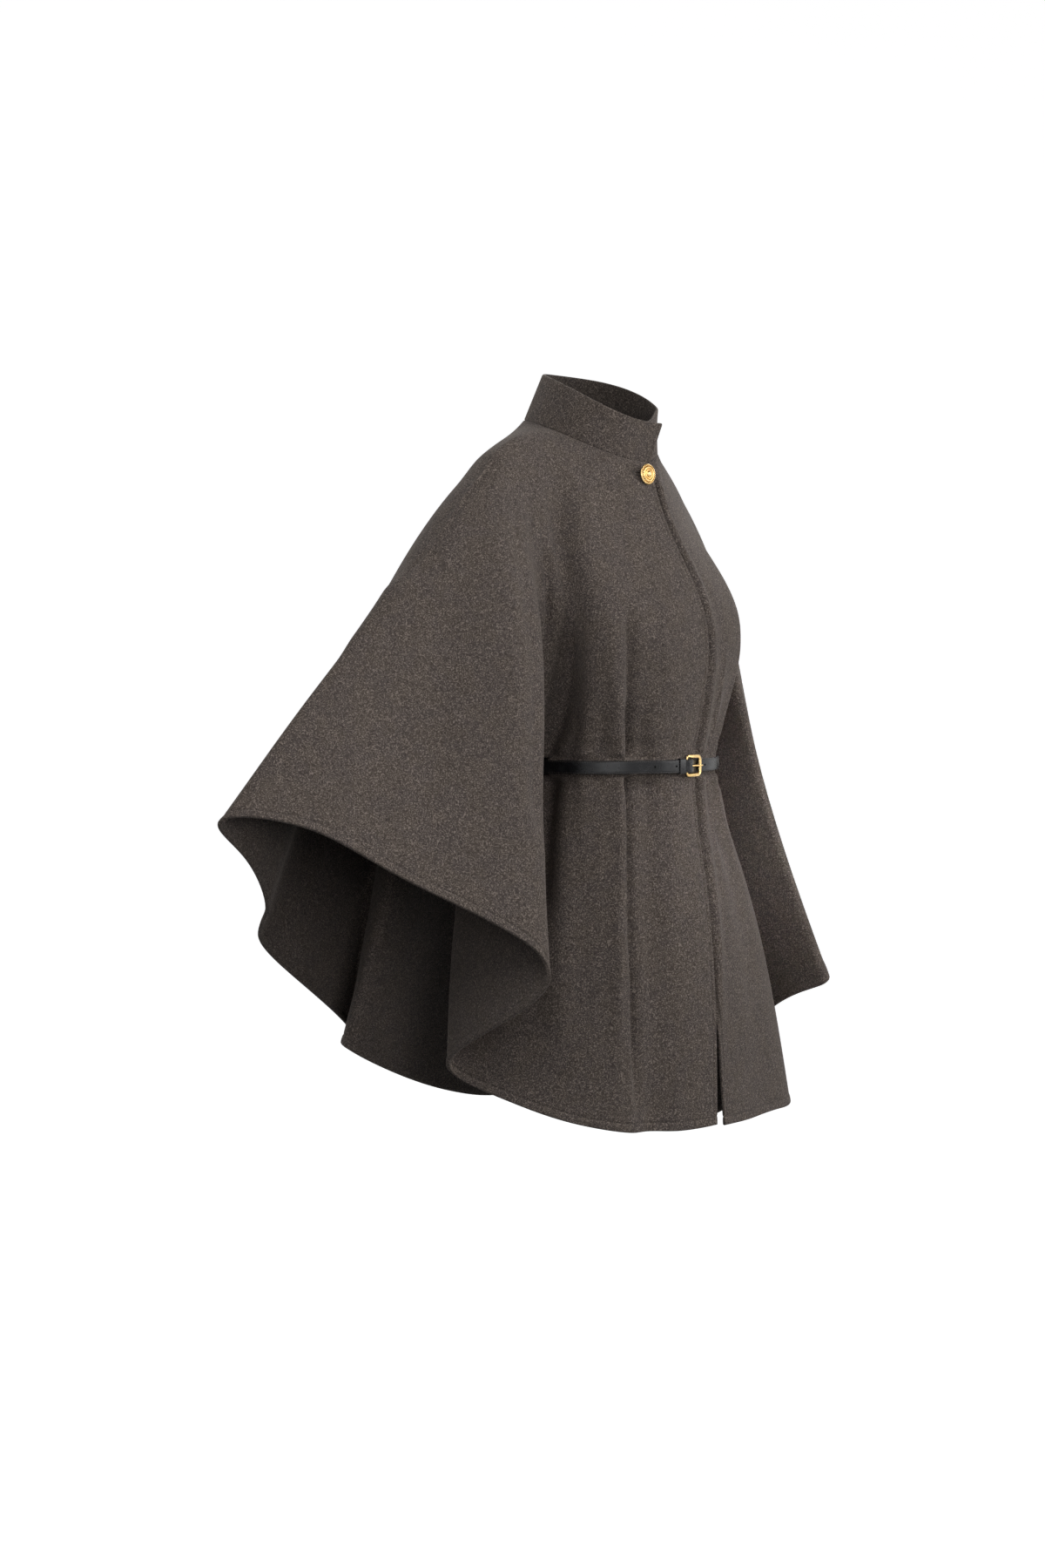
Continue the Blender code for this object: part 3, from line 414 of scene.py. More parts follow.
def lengths_along(points, power=1.0):
    """Length from the first point to each point, with every step raised to a power."""
    steps = np.linalg.norm(np.diff(points, axis=0), axis=-1) ** power
    return np.concatenate((np.zeros_like(steps[:1]), np.cumsum(steps, axis=0)))


def read_path(at, along, points):
    """Points of a path at lengths along it."""
    return np.stack([np.interp(at, along, values) for values in points.T], axis=-1)


def bell(away, width, power=2):
    """Rounded bump that is 1 in its middle."""
    return np.exp(-(away / width) ** power)


def bump(distance, shape):
    """Height of a rounded bump at a distance."""
    return shape.height * bell(distance - shape.at, shape.width, shape.power)


def unit(vectors):
    """Vectors of length 1."""
    return vectors / np.linalg.norm(vectors, axis=-1, keepdims=True)


class CapeForm:
    """Outer surface of the cape, read at line places and on rows that every line has its own of."""

    def __init__(self):
        self.lines = [(knots, points, lengths_along(points)) for knots, points in cape_lines()]
        self.weights = belted_weights()
        self.places = np.arange(len(self.lines), dtype=float)

    def pace(self, station, step):
        """Millimetres per station on every line, from one station on."""
        at = np.array((station, station + step))
        return np.array([np.diff(monotone(knots, along, at))[0] / step
                         for knots, _, along in self.lines])

    def rails(self, rows):
        """Points of every line on its own rows."""
        rails = []
        for (knots, points, along), weight, own in zip(self.lines, self.weights, rows):
            free = cubic(along, points, monotone(knots, along, own))
            held = cubic(along, points, monotone(knots, along, belt_flattened(own)))
            free[:, :2] += weight * (held[:, :2] - free[:, :2])
            rails.append(free)
        return np.array(rails)

    def points(self, columns, rows):
        """Points at columns[i, j] on row j, and the stations there."""
        rails = self.rails(rows)
        grid = np.zeros(columns.shape + (3,))
        stations = np.zeros(columns.shape)
        for j in range(rows.shape[1]):
            along = lengths_along(rails[:, j], 0.5)
            grid[:, j] = cubic(along, rails[:, j], np.interp(columns[:, j], self.places, along))
            stations[:, j] = np.interp(columns[:, j], self.places, rows[:, j])
        middle = np.array((0.0, WAIST_CENTRE_Y))
        reach = (grid[:, :, :2] - middle) / np.array((WAIST_HALF_WIDTH, WAIST_FRONT))
        beyond = np.maximum(np.linalg.norm(reach, axis=2), 1.0)
        shrink = 1.0 + belt_hold(columns, stations) * (1.0 / beyond - 1.0)
        grid[:, :, :2] = middle + (grid[:, :, :2] - middle) * shrink[:, :, None]
        return grid, stations

    def at(self, place, station):
        """One point of the surface and its outward normal."""
        step = np.array((-1.0, 0.0, 1.0))
        rows = np.tile(station + READ_STATION * step, (len(self.lines), 1))
        grid = self.points(on_every_row(place + READ_LINE * step, rows), rows)[0]
        return grid[1, 1], unit(np.cross(grid[2, 1] - grid[0, 1], grid[1, 2] - grid[1, 0]))


def cape_rows(form):
    """Rows of every line: steps from the neck and the hem, and shared stations round the belt."""
    neck_pace = form.pace(0.0, READ_STATION)
    hem_pace = form.pace(1.0 - READ_STATION, READ_STATION)
    band = [np.linspace(start, end, count, endpoint=False)
            for (start, count), (end, _) in zip(BELT_BAND, BELT_BAND[1:])]
    band = np.concatenate(band + [np.array((BELT_BAND[-1][0],))])
    rows = []
    for neck, hem in zip(neck_pace, hem_pace):
        top = np.array(NECK_STEPS) / neck
        bottom = 1.0 - np.array(HEM_STEPS) / hem
        upper = np.linspace(top[-1], band[0], UPPER_ROWS + 2)[1:-1]
        lower = np.linspace(band[-1], bottom[0], LOWER_ROWS + 2)[1:-1]
        rows.append(np.concatenate((top, upper, band, lower, bottom)))
    return np.array(rows)


def on_every_row(places, rows):
    """Line places that are the same on every row."""
    return np.repeat(places[:, None], rows.shape[1], axis=1)


def places_from_edge(form, rows, edge, way, steps):
    """Line places at steps in millimetres from an edge, on every row."""
    columns = on_every_row(edge + way * np.linspace(0.0, EDGE_REACH, EDGE_SAMPLES), rows)
    along = lengths_along(form.points(columns, rows)[0])
    places = [np.interp(steps, along[:, j], columns[:, j] * way) * way for j in range(rows.shape[1])]
    return np.array(places).T


def between(first, last, count):
    """Evenly spaced columns between two others."""
    share = np.linspace(0.0, 1.0, int(count) + 2)[1:-1]
    return first + share[:, None] * (last - first)


def panel_columns(form, rows, name):
    """Line places of a panel's columns on every row."""
    per_line = COLUMNS_PER_LINE[name]
    if name == "back":
        first = places_from_edge(form, rows, SEAM_LINE, 1.0, SEAM_STEPS)
        last = places_from_edge(form, rows, LEFT_SEAM, -1.0, SEAM_STEPS)[::-1]
        middle = between(first[-1], last[0], per_line * (LEFT_SEAM - SEAM_LINE))
        return np.concatenate((first, middle, last))
    edge, seam, slit, way = (0, SEAM_LINE, SLIT_LINE, 1.0)
    if name == "front_left":
        edge, seam, slit, way = (LEFT_EDGE, LEFT_SEAM, LEFT_SLIT, -1.0)
    first = places_from_edge(form, rows, edge, way, EDGE_STEPS)
    last = places_from_edge(form, rows, seam, -way, SEAM_STEPS)[::-1]
    near, far, half = slit - way, slit + way, way * SLIT_HALF_COLUMN
    count = int(per_line) - 1
    beside = np.concatenate((np.linspace(near, slit - half, count, endpoint=False),
                             np.linspace(slit - half, slit + half, SLIT_COLUMNS),
                             np.linspace(slit + half, far, count + 1)[1:]))
    columns = np.concatenate((first, between(first[-1], near, per_line * LINES_BEFORE_SLIT),
                              on_every_row(beside, rows),
                              between(far, last[0], per_line * LINES_AFTER_SLIT), last))
    return columns if way > 0.0 else columns[::-1]


def from_lines(columns, right, left):
    """Values of the lines on the right and on the left, read at line places."""
    return np.interp(columns, np.arange(LEFT_EDGE + 1), right + left[::-1])


def neck_turns(columns):
    """Turn around the neck, in degrees from the centre front, at line places."""
    left = [360 - turn for turn in NECK_TURNS[:len(LEFT_LINES)]]
    return from_lines(columns, list(NECK_TURNS), left)


def neck_insets(columns):
    """How far the neck edge lies inside the neck ring at line places."""
    left = list(LEFT_INSET) + [0.0] * (len(LEFT_LINES) - len(LEFT_INSET))
    return from_lines(columns, [0.0] * len(RIGHT_LINES), left)


def neck_radial(columns):
    """Level direction out from the neck at line places."""
    angle = np.radians(neck_turns(columns))
    return np.stack((-np.sin(angle), -np.cos(angle), np.zeros_like(angle)), axis=-1)


def seam_directions(columns):
    """At the neck seam: the shared wall direction and the way up across the seam."""
    radial = neck_radial(columns)
    flat, steep = SEAM_TILT
    return flat * radial + steep * UP, -steep * radial + flat * UP


def grid_normals(grid):
    """Outward normals of a grid, and its direction across the columns."""
    across = unit(np.gradient(grid, axis=0))
    down = np.gradient(grid, axis=1)
    return unit(np.cross(across, down)), across


def distances(grid, axis, backward):
    """Length along the grid from its first or last row or column."""
    way = np.moveaxis(grid, axis, 0)
    along = lengths_along(way[::-1])[::-1] if backward else lengths_along(way)
    return np.moveaxis(along, 0, axis)


def relief(columns, stations, span, panel):
    """Height of a panel's creases over the form. Span is the millimetres to a line place."""
    height = np.zeros_like(columns)
    places = LEFT_EDGE - columns if panel == "front_left" else columns
    for crease in CREASES[panel]:
        t = (stations - crease.station) / (crease.station_end - crease.station)
        middle = crease.line + (crease.line_end - crease.line) * t
        fade = smooth(t / CREASE_START) * smooth((1.0 - t) / CREASE_END)
        height += crease.height * fade * bell((places - middle) * span, crease.width)
    return height


def lap_relief(form, rows, columns, stations, span):
    """Height of the left front's groove and swell beside the right front's edge."""
    reach = np.linspace(0.0, LAP_REACH, LAP_SAMPLES)
    left = form.points(on_every_row(LEFT_EDGE - reach, rows), rows)[0][:, :, 0]
    edge = form.points(on_every_row(np.zeros(1), rows), rows)[0][0, :, 0]
    slope = (left[-1] - left[0]) / reach[-1]
    lap = np.array([np.interp(edge[j], left[:, j], reach) for j in range(rows.shape[1])])
    lap = np.where(edge < left[0], (edge - left[0]) / slope, lap)
    beyond = (LEFT_EDGE - columns - lap) * span
    height = bump(beyond, LAP_GROOVE) + bump(beyond, LAP_SWELL)
    return height * np.interp(stations, LAP_STATIONS, (0.0, 1.0, 1.0, 0.0))


def rounding(distance, radius, least):
    """Share of the full wall at a distance from a rounded edge."""
    x = np.clip(distance / radius, 0.0, 1.0)
    return least + (1.0 - least) * np.sqrt(1.0 - (1.0 - x) ** 2)


def groove(distance, place):
    """Depth of the groove that a line of stitching presses into the cloth."""
    return STITCH_DEPTH * bell(distance - place, STITCH_WIDTH)


def make_object(name, points, faces):
    """Smooth mesh from points in metres, in the scene."""
    mesh = bpy.data.meshes.new(name)
    mesh.from_pydata(points.tolist(), [], faces)
    mesh.validate()
    mesh.update()
    mesh.shade_smooth()
    made = bpy.data.objects.new(name, mesh)
    bpy.context.scene.collection.objects.link(made)
    return made


def make_mesh(name, points, faces, material):
    """Piece from points in millimetres, in its place and riding on the root."""
    piece = make_object(name, points * MM, faces)
    piece.data.materials.append(material)
    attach(piece, "root")
    return piece


def ring_points(centre, radius, first, second, sides):
    """Points of a circle in the plane of two directions."""
    angle = 2.0 * np.pi * np.arange(sides) / sides
    return centre + radius * (np.cos(angle)[:, None] * first + np.sin(angle)[:, None] * second)


def ring_faces(rings, sides, start=0, ends="capped"):
    """Faces between rings of points in a row, whose ends are capped, joined or left open."""
    faces = []
    for i in range(rings if ends == "joined" else rings - 1):
        here, there = start + i * sides, start + (i + 1) % rings * sides
        for k in range(sides):
            following = (k + 1) % sides
            faces.append((here + k, here + following, there + following, there + k))
    if ends == "capped":
        last = start + (rings - 1) * sides
        faces.append(tuple(range(start, start + sides))[::-1])
        faces.append(tuple(range(last, last + sides)))
    return faces


def shell_faces(columns, rows, open_cells, closed):
    """Faces of a wall between two grids: both sides, and the borders of its filled cells."""
    across = columns if closed else columns - 1
    i, j = np.meshgrid(np.arange(across), np.arange(rows - 1), indexing="ij")
    following = (i + 1) % columns
    corners = ((i, j), (following, j), (following, j + 1), (i, j + 1))
    loop = np.stack([column * rows + row for column, row in corners], axis=2)
    inner = columns * rows
    filled = ~open_cells
    faces = [loop[filled], inner + loop[filled][:, ::-1]]
    for k, (di, dj) in enumerate(((0, -1), (1, 0), (0, 1), (-1, 0))):
        beside = np.zeros_like(filled)
        ii, jj = i + di, j + dj
        if closed:
            ii = ii % columns
        inside = (ii >= 0) & (ii < across) & (jj >= 0) & (jj < rows - 1)
        beside[inside] = filled[ii[inside], jj[inside]]
        border = filled & ~beside
        a, b = loop[border][:, k], loop[border][:, (k + 1) % 4]
        faces.append(np.stack((b, a, inner + a, inner + b), axis=1))
    return np.concatenate(faces)


def make_shell(name, outer, inner, material, open_cells=None, closed=False):
    """Closed wall between two grids of points, leaving out the open cells."""
    columns, rows = outer.shape[:2]
    if open_cells is None:
        open_cells = np.zeros((columns if closed else columns - 1, rows - 1), bool)
    faces = shell_faces(columns, rows, open_cells, closed)
    vertices = np.concatenate((outer.reshape(-1, 3), inner.reshape(-1, 3)))
    used, faces = np.unique(faces, return_inverse=True)
    faces = faces.reshape(-1, 4)
    return make_mesh(name, vertices[used], faces.tolist(), material)


def two_sides(middle, thick, normal):
    """Outer and inner grid of a wall round its middle."""
    reach = thick[:, :, None] * normal
    return middle + reach, middle - reach


def cell_middles(values):
    """Mean of a grid's values over the corners of every cell."""
    return 0.25 * (values[1:, 1:] + values[:-1, 1:] + values[1:, :-1] + values[:-1, :-1])


def creased_grid(form, rows, name):
    """A panel's columns, stations and points: the form, its creases and the cloth beside the belt."""
    columns = panel_columns(form, rows, name)
    grid, stations = form.points(columns, rows)
    normal = grid_normals(grid)[0]
    span = (np.linalg.norm(np.gradient(grid, axis=0), axis=2)
            / np.maximum(np.abs(np.gradient(columns, axis=0)), 1e-6))
    lift = relief(columns, stations, span, name)
    if name == "front_left":
        lift += lap_relief(form, rows, columns, stations, span)
    pressed = belt_hold(columns, stations, PRESS_FLAT, PRESS_BLEND)
    cinch = (CINCH_BELOW * belt_hold(columns, stations - CINCH_AT, CINCH_FLAT, CINCH_BLEND)
             + CINCH_ABOVE * belt_hold(columns, stations + CINCH_AT, CINCH_FLAT, CINCH_BLEND))
    return columns, stations, grid + (lift * (1.0 - pressed) - cinch)[:, :, None] * normal


def panel_wall(grid, columns, name):
    """Half a panel's wall, rounded at its edges and grooved by its stitching, and its shift outwards."""
    half = 0.5 * WOOL_WALL
    from_hem = distances(grid, 1, True)
    from_neck = distances(grid, 1, False)
    share = rounding(from_hem, half, EDGE_LEAST) * rounding(from_neck, SEAM_ROUND, SEAM_LEAST)
    swell = bump(from_hem, HEM_SWELL)
    cut = groove(from_hem, HEM_STITCH)
    shift = np.zeros_like(share)
    for backward, edge in ((False, columns[0, 0]), (True, columns[-1, 0])):
        distance = distances(grid, 0, backward)
        if edge in FRONT_EDGES:
            share *= rounding(distance, half, EDGE_LEAST)
            cut = np.maximum(cut, groove(distance, EDGE_STITCH))
            beside = FRONT_SWELL
        else:
            share *= rounding(distance, SEAM_ROUND, SEAM_LEAST)
            beside = BACK_SEAM_DIP if name == "back" else SEAM_SWELL
        height = bump(distance, beside)
        swell = np.maximum(swell, height)
        shift += np.minimum(height, 0.0)
    return (half + swell) * share - np.minimum(cut, CUT_LIMIT * share), shift


def make_panel(form, rows, name, material):
    """One cloth panel, and the lines of its topstitching."""
    columns, stations, grid = creased_grid(form, rows, name)
    normal, across = grid_normals(grid)
    wall, up = seam_directions(columns)
    normal = unit(normal + np.interp(stations, *NECK_EASE)[:, :, None] * (wall - normal))
    thick, shift = panel_wall(grid, columns, name)
    for end, way in ((0, -1.0), (-1, 1.0)):
        if columns[end, 0] not in FRONT_EDGES:
            grid[end] += way * SEAM_LAP * across[end]
    grid[:, 0] += SEAM_LAP * up[:, 0]
    middle = grid + (shift - 0.5 * WOOL_WALL)[:, :, None] * normal
    outer, inner = two_sides(middle, thick, normal)
    place, row = cell_middles(columns), cell_middles(stations)
    from_slit = np.minimum(np.abs(place - SLIT_LINE), np.abs(place - LEFT_SLIT))
    open_cells = (from_slit < SLIT_HALF_COLUMN) & (row > SLIT_ROWS[0]) & (row < SLIT_ROWS[1])
    piece = make_shell("cloth_" + name, outer, inner, material, open_cells)
    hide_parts(name)
    hem = HEM_STEPS.index(HEM_STITCH) - len(HEM_STEPS)
    edge = EDGE_STEPS.index(EDGE_STITCH)
    lines = [(outer[:, hem], normal[:, hem])]
    if name == "front_right":
        lines.append((outer[edge], normal[edge]))
    if name == "front_left":
        lines.append((outer[-1 - edge], normal[-1 - edge]))
    return piece, lines


def make_stitches(name, lines, stitch, material):
    """Stitching: short threads laid in the stitched grooves."""
    vertices, faces = [], []
    places, shares = np.array(STITCH_SECTIONS).T
    for path, normals in lines:
        along = lengths_along(path)
        for middle in np.arange(stitch.pitch, along[-1] - stitch.pitch, stitch.pitch):
            faces += ring_faces(len(shares), STITCH_SIDES, len(vertices) * STITCH_SIDES)
            spine = read_path(middle + stitch.length * places, along, path)
            up = unit(read_path(middle, along, normals))
            aside = np.cross(unit(spine[-1] - spine[0]), up)
            for share, centre in zip(shares, spine + 0.5 * stitch.radius * up):
                vertices.append(ring_points(centre, share * stitch.radius, aside, up, STITCH_SIDES))
    return make_mesh(name, np.concatenate(vertices), faces, material)


# Stand collar
COLLAR_CORNER = 3.0
COLLAR_STITCH = 6.1
COLLAR_TOP_STEPS = (0.0, 0.12, 0.4, 0.9, 1.6, 2.6, 4.2, 6.5)
COLLAR_LOW_STEPS = (6.0, 3.0, 1.6, 0.9, 0.4, 0.0)
COLLAR_PACE = 39.0
COLLAR_COLUMNS = 190
COLLAR_ROWS = 26
COLLAR_END_FLARE = 3.0
# Share of the wool's colour on the collar's inner faces: painted shade inside the collar.
COLLAR_PAINTED_SHADE = 0.55
COLLAR_TUCK = 8.0
COLLAR_TUCK_LINES = (2.0, 5.0)


def collar_columns():
    """Line places of the collar's columns, closer together at its ends."""
    ends = np.array(EDGE_STEPS) / COLLAR_PACE
    middle = np.linspace(ends[-1], LEFT_EDGE - ends[-1], COLLAR_COLUMNS)[1:-1]
    return np.concatenate((ends, middle, LEFT_EDGE - ends[::-1]))


def collar_edges(form, rows, columns):
    """Points of the collar's top edge and of its seam, at every column."""
    turn = neck_turns(columns)
    angle = np.radians(turn)
    start, full = COLLAR_TUCK_LINES
    tuck = 1.0 - smooth((LEFT_EDGE - columns - start) / (full - start))
    end = np.clip(1.0 - columns, 0.0, 1.0)
    radius = COLLAR_TOP_RADIUS - neck_insets(columns) - COLLAR_TUCK * tuck + COLLAR_END_FLARE * end ** 2
    top = np.stack((-radius * np.sin(angle) + COLLAR_END_LEAN * end,
                    COLLAR_TOP_CENTRE_Y - radius * np.cos(angle),
                    ring_height(turn, COLLAR_TOP_HEIGHT) - COLLAR_END_DROP * end ** 2), axis=1)
    up = seam_directions(columns)[1]
    return top, form.points(columns[:, None], rows[:, :1])[0][:, 0] + 0.5 * SEAM_GAP * up


def make_collar(form, rows, material, inside):
    """Stand collar: a doubled wool strip with a rounded top edge and rounded front corner; its inner faces
    take a darker copy of the wool, painted shade.
    """
    columns = collar_columns()
    top, base = collar_edges(form, rows, columns)
    from_end = np.minimum(columns, LEFT_EDGE - columns) * COLLAR_PACE
    short = np.clip(COLLAR_CORNER - from_end, 0.0, COLLAR_CORNER)
    drop = COLLAR_CORNER - np.sqrt(COLLAR_CORNER ** 2 - short ** 2)
    height = np.linalg.norm(base - top, axis=1)
    top = top + (base - top) * (drop / height)[:, None]
    height = height - drop
    levels = []
    for tall in height:
        even = np.linspace(COLLAR_TOP_STEPS[-1], tall - COLLAR_LOW_STEPS[0], COLLAR_ROWS)[1:-1]
        levels.append(np.concatenate((COLLAR_TOP_STEPS, even, tall - np.array(COLLAR_LOW_STEPS))) / tall)
    levels = np.array(levels)
    grid = top[:, None] + (base - top)[:, None] * levels[:, :, None]
    radial = neck_radial(columns)[:, None]
    wall = seam_directions(columns)[0][:, None]
    normal = unit(radial + (wall - radial) * (levels ** 2)[:, :, None])
    half = 0.5 * COLLAR_WALL
    down = levels * height[:, None]
    share = (rounding(down, half, EDGE_LEAST) * rounding(height[:, None] - down, SEAM_ROUND, SEAM_LEAST)
             * rounding(from_end, half, EDGE_LEAST)[:, None])
    thick = half * share - np.minimum(groove(from_end, COLLAR_STITCH)[:, None], CUT_LIMIT * share)
    outer, inner = two_sides(grid - half * normal, thick, normal)
    piece = make_shell("cloth_collar", outer, inner, material)
    # The inner faces take the darker copy of the wool: painted shade inside the collar.
    piece.data.materials.append(inside)
    cells = (outer.shape[0] - 1) * (outer.shape[1] - 1)
    for face in piece.data.polygons[cells:2 * cells]:
        face.material_index = 1
    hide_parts("collar")
    edge = int(np.argmin(np.abs(from_end[:len(EDGE_STEPS)] - COLLAR_STITCH)))
    stitched = down[edge] > COLLAR_CORNER
    return piece, [(outer[edge][stitched], normal[edge][stitched])]


# Belt and buckle, around the waist ring
BELT_WIDTH = 15.0
BELT_OFF = 1.3
BUCKLE_X = -0.5
FRAME_WIDTH = 27.0
FRAME_HEIGHT = 25.0
FRAME_FRONT_CORNER = 6.5
FRAME_HEEL_CORNER = 4.6
FRAME_BAR = 1.65
FRAME_ROUND = 2.15
HEEL_BAR = 1.2
FRAME_LINE = 0.55
FRAME_LINE_WIDTH = 0.13
FRAME_LINE_DEPTH = 0.07
FRAME_CORNER_STEPS = 13
FRAME_SPACING = 1.2
FRAME_SIDES = 36
FRAME_OFF = 4.2
LOOP_RADIUS = 2.4
PRONG_RADIUS = 1.0
PRONG_POINT = 1.4
PRONG_TIP = 0.35
PRONG_SPACING = 0.5
PRONG_SIDES = 20
KEEPER_ALONG = (-27.0, -17.8)
KEEPER_WALL = 1.0
KEEPER_CORNER = 0.8
KEEPER_CORNER_STEPS = 7
KEEPER_STEPS = (0.0, 0.05, 0.15, 0.35, 0.6, 0.9, 1.1, 1.3, 1.8, 3.0)
KEEPER_CREASE = Bump(0.16, 1.1, 0.18)
FOLD_BACK_END = -46.0
TAIL_END = -196.0
TAIL_POINT = 9.0
TAIL_TIP = 0.3
PRONG_SLOT = (-7.5, 4.5)
HEEL_SLOT = 4.6
PRONG_SLOT_HEIGHT = 3.4
STRAP_STEPS = (0.0, 0.06, 0.18, 0.4, 0.75, 1.1, 1.3, 1.5, 1.9, 2.8, 4.2)
STRAP_LINE = 1.3
STRAP_LEAST = 0.12
STRAP_CREASE = Bump(0.22, STRAP_LINE, 0.26)
HOLE_RADIUS = 1.35
HOLES = (-60.5, -31.5, 28.0)
HOLE_SIDES = 20
HOLE_EDGE_ANGLE = 50.0
RING_SAMPLES = 1441
RING_STEP = 0.5
BUCKLE_END_SPACING = 0.9
TAIL_SPACING = 1.0
ROUND_SPACING = 3.0

# Heights off the waist ring, and places of the frame's bars along it
MAIN_OFF = BELT_OFF + LEATHER + KEEPER_WALL + 2.0 * SEAM_GAP
ON_MAIN = MAIN_OFF + LEATHER + SEAM_GAP
ON_STRAP = BELT_OFF + LEATHER + SEAM_GAP
OVER_BAR = FRAME_OFF + LOOP_RADIUS + LEATHER + 2.0 * SEAM_GAP
PRONG_TOP = FRAME_OFF + FRAME_BAR + SEAM_GAP + PRONG_RADIUS
FRONT_X = FRAME_WIDTH / 2.0 - FRAME_BAR
HEEL_X = HEEL_BAR - FRAME_WIDTH / 2.0

# Strap as (along, off): its fold-back, the turn round the heel bar in degrees, the way on and the tail
FOLD_BACK = ((FOLD_BACK_END, BELT_OFF), (-32.0, BELT_OFF), (-20.0, BELT_OFF))
LOOP_TURNS = (-75, -45, -15, 15, 45, 75)
WAY_ON = ((-15.2, MAIN_OFF + 0.7), (-17.6, MAIN_OFF), (-22.0, MAIN_OFF), (-28.0, MAIN_OFF),
          (-34.0, MAIN_OFF), (-50.0, MAIN_OFF - 0.5), (-66.0, BELT_OFF))
TAIL_ROUTE = ((24.0, BELT_OFF), (16.0, BELT_OFF), (10.0, BELT_OFF + 0.1), (4.0, 2.6), (-4.0, 6.4),
              (HEEL_X, OVER_BAR), (-15.6, ON_MAIN + 0.8), (-18.0, ON_MAIN), (-22.0, ON_MAIN),
              (-28.0, ON_MAIN), (-34.0, ON_MAIN), (-50.0, ON_MAIN - 0.4), (-68.0, ON_STRAP + 0.2),
              (-84.0, ON_STRAP), (TAIL_END, ON_STRAP))

# Prong: its eye round the heel bar in degrees, and its pin as (along, off)
PRONG_EYE = (330, 290, 250, 210, 170, 130, 95)
PRONG_PIN = ((HEEL_X + 3.2, FRAME_OFF + 1.9), (HEEL_X + 8.0, FRAME_OFF + 1.6), (4.0, PRONG_TOP - 0.8),
             (FRONT_X, PRONG_TOP), (FRONT_X + 2.2, PRONG_TOP - 0.3))


class BeltRing:
    """The waist ring as a closed curve measured from the buckle's middle."""

    def __init__(self):
        turns = np.radians(np.linspace(-180.0, 180.0, RING_SAMPLES))
        depth = np.where(np.cos(turns) > 0.0, WAIST_FRONT, WAIST_BACK)
        self.points = np.stack((WAIST_HALF_WIDTH * np.sin(turns),
                                WAIST_CENTRE_Y - depth * np.cos(turns)), axis=1)
        along = lengths_along(self.points)
        self.length = along[-1]
        front = np.abs(turns) < math.pi / 2.0
        self.along = along - np.interp(BUCKLE_X, self.points[front, 0], along[front])

    def on_ring(self, way):
        """Points of the ring at ways along it, which may go past its ends."""
        wrapped = (way - self.along[0]) % self.length + self.along[0]
        return read_path(wrapped, self.along, self.points)

    def place(self, along, off, z):
        """Points at a way along the ring, a height off it and a height z."""
        along, off, z = np.broadcast_arrays(np.asarray(along, float), off, z)
        ahead = unit(self.on_ring(along + RING_STEP) - self.on_ring(along - RING_STEP))
        here = self.on_ring(along) + off[..., None] * np.stack((ahead[..., 1], -ahead[..., 0]), axis=-1)
        return np.concatenate((here, (WAIST_Z + z)[..., None]), axis=-1)


def smooth_route(route, spacing):
    """Points of a smooth curve through (along, off) places, at about the given spacing."""
    route = np.array(route, float)
    steps = np.linalg.norm(np.diff(route, axis=0), axis=1)
    knots = lengths_along(route, 0.5)
    parts = []
    for k, step in enumerate(steps):
        count = max(1, int(round(step / spacing)))
        parts.append(np.linspace(knots[k], knots[k + 1], count, endpoint=False))
    return cubic(knots, route, np.concatenate(parts + [knots[-1:]]))


def round_bar(radius, turns):
    """Route places round the buckle's heel bar, at turns in degrees."""
    angles = [math.radians(turn) for turn in turns]
    return [(HEEL_X + radius * math.cos(angle), FRAME_OFF + radius * math.sin(angle)) for angle in angles]


def belt_route(ring):
    """The whole strap as (along, off): buckle end, round the back, and the tail."""
    start = (*FOLD_BACK, *round_bar(LOOP_RADIUS, LOOP_TURNS), *WAY_ON)
    start = smooth_route(start, BUCKLE_END_SPACING)
    tail = smooth_route(TAIL_ROUTE, TAIL_SPACING) - np.array((ring.length, 0.0))
    round_start = start[-1, 0] - ROUND_SPACING
    round_end = tail[0, 0] + ROUND_SPACING
    count = int((round_start - round_end) / ROUND_SPACING)
    around = np.stack((np.linspace(round_start, round_end, count), np.full(count, BELT_OFF)), axis=1)
    return np.concatenate((start, around, tail))


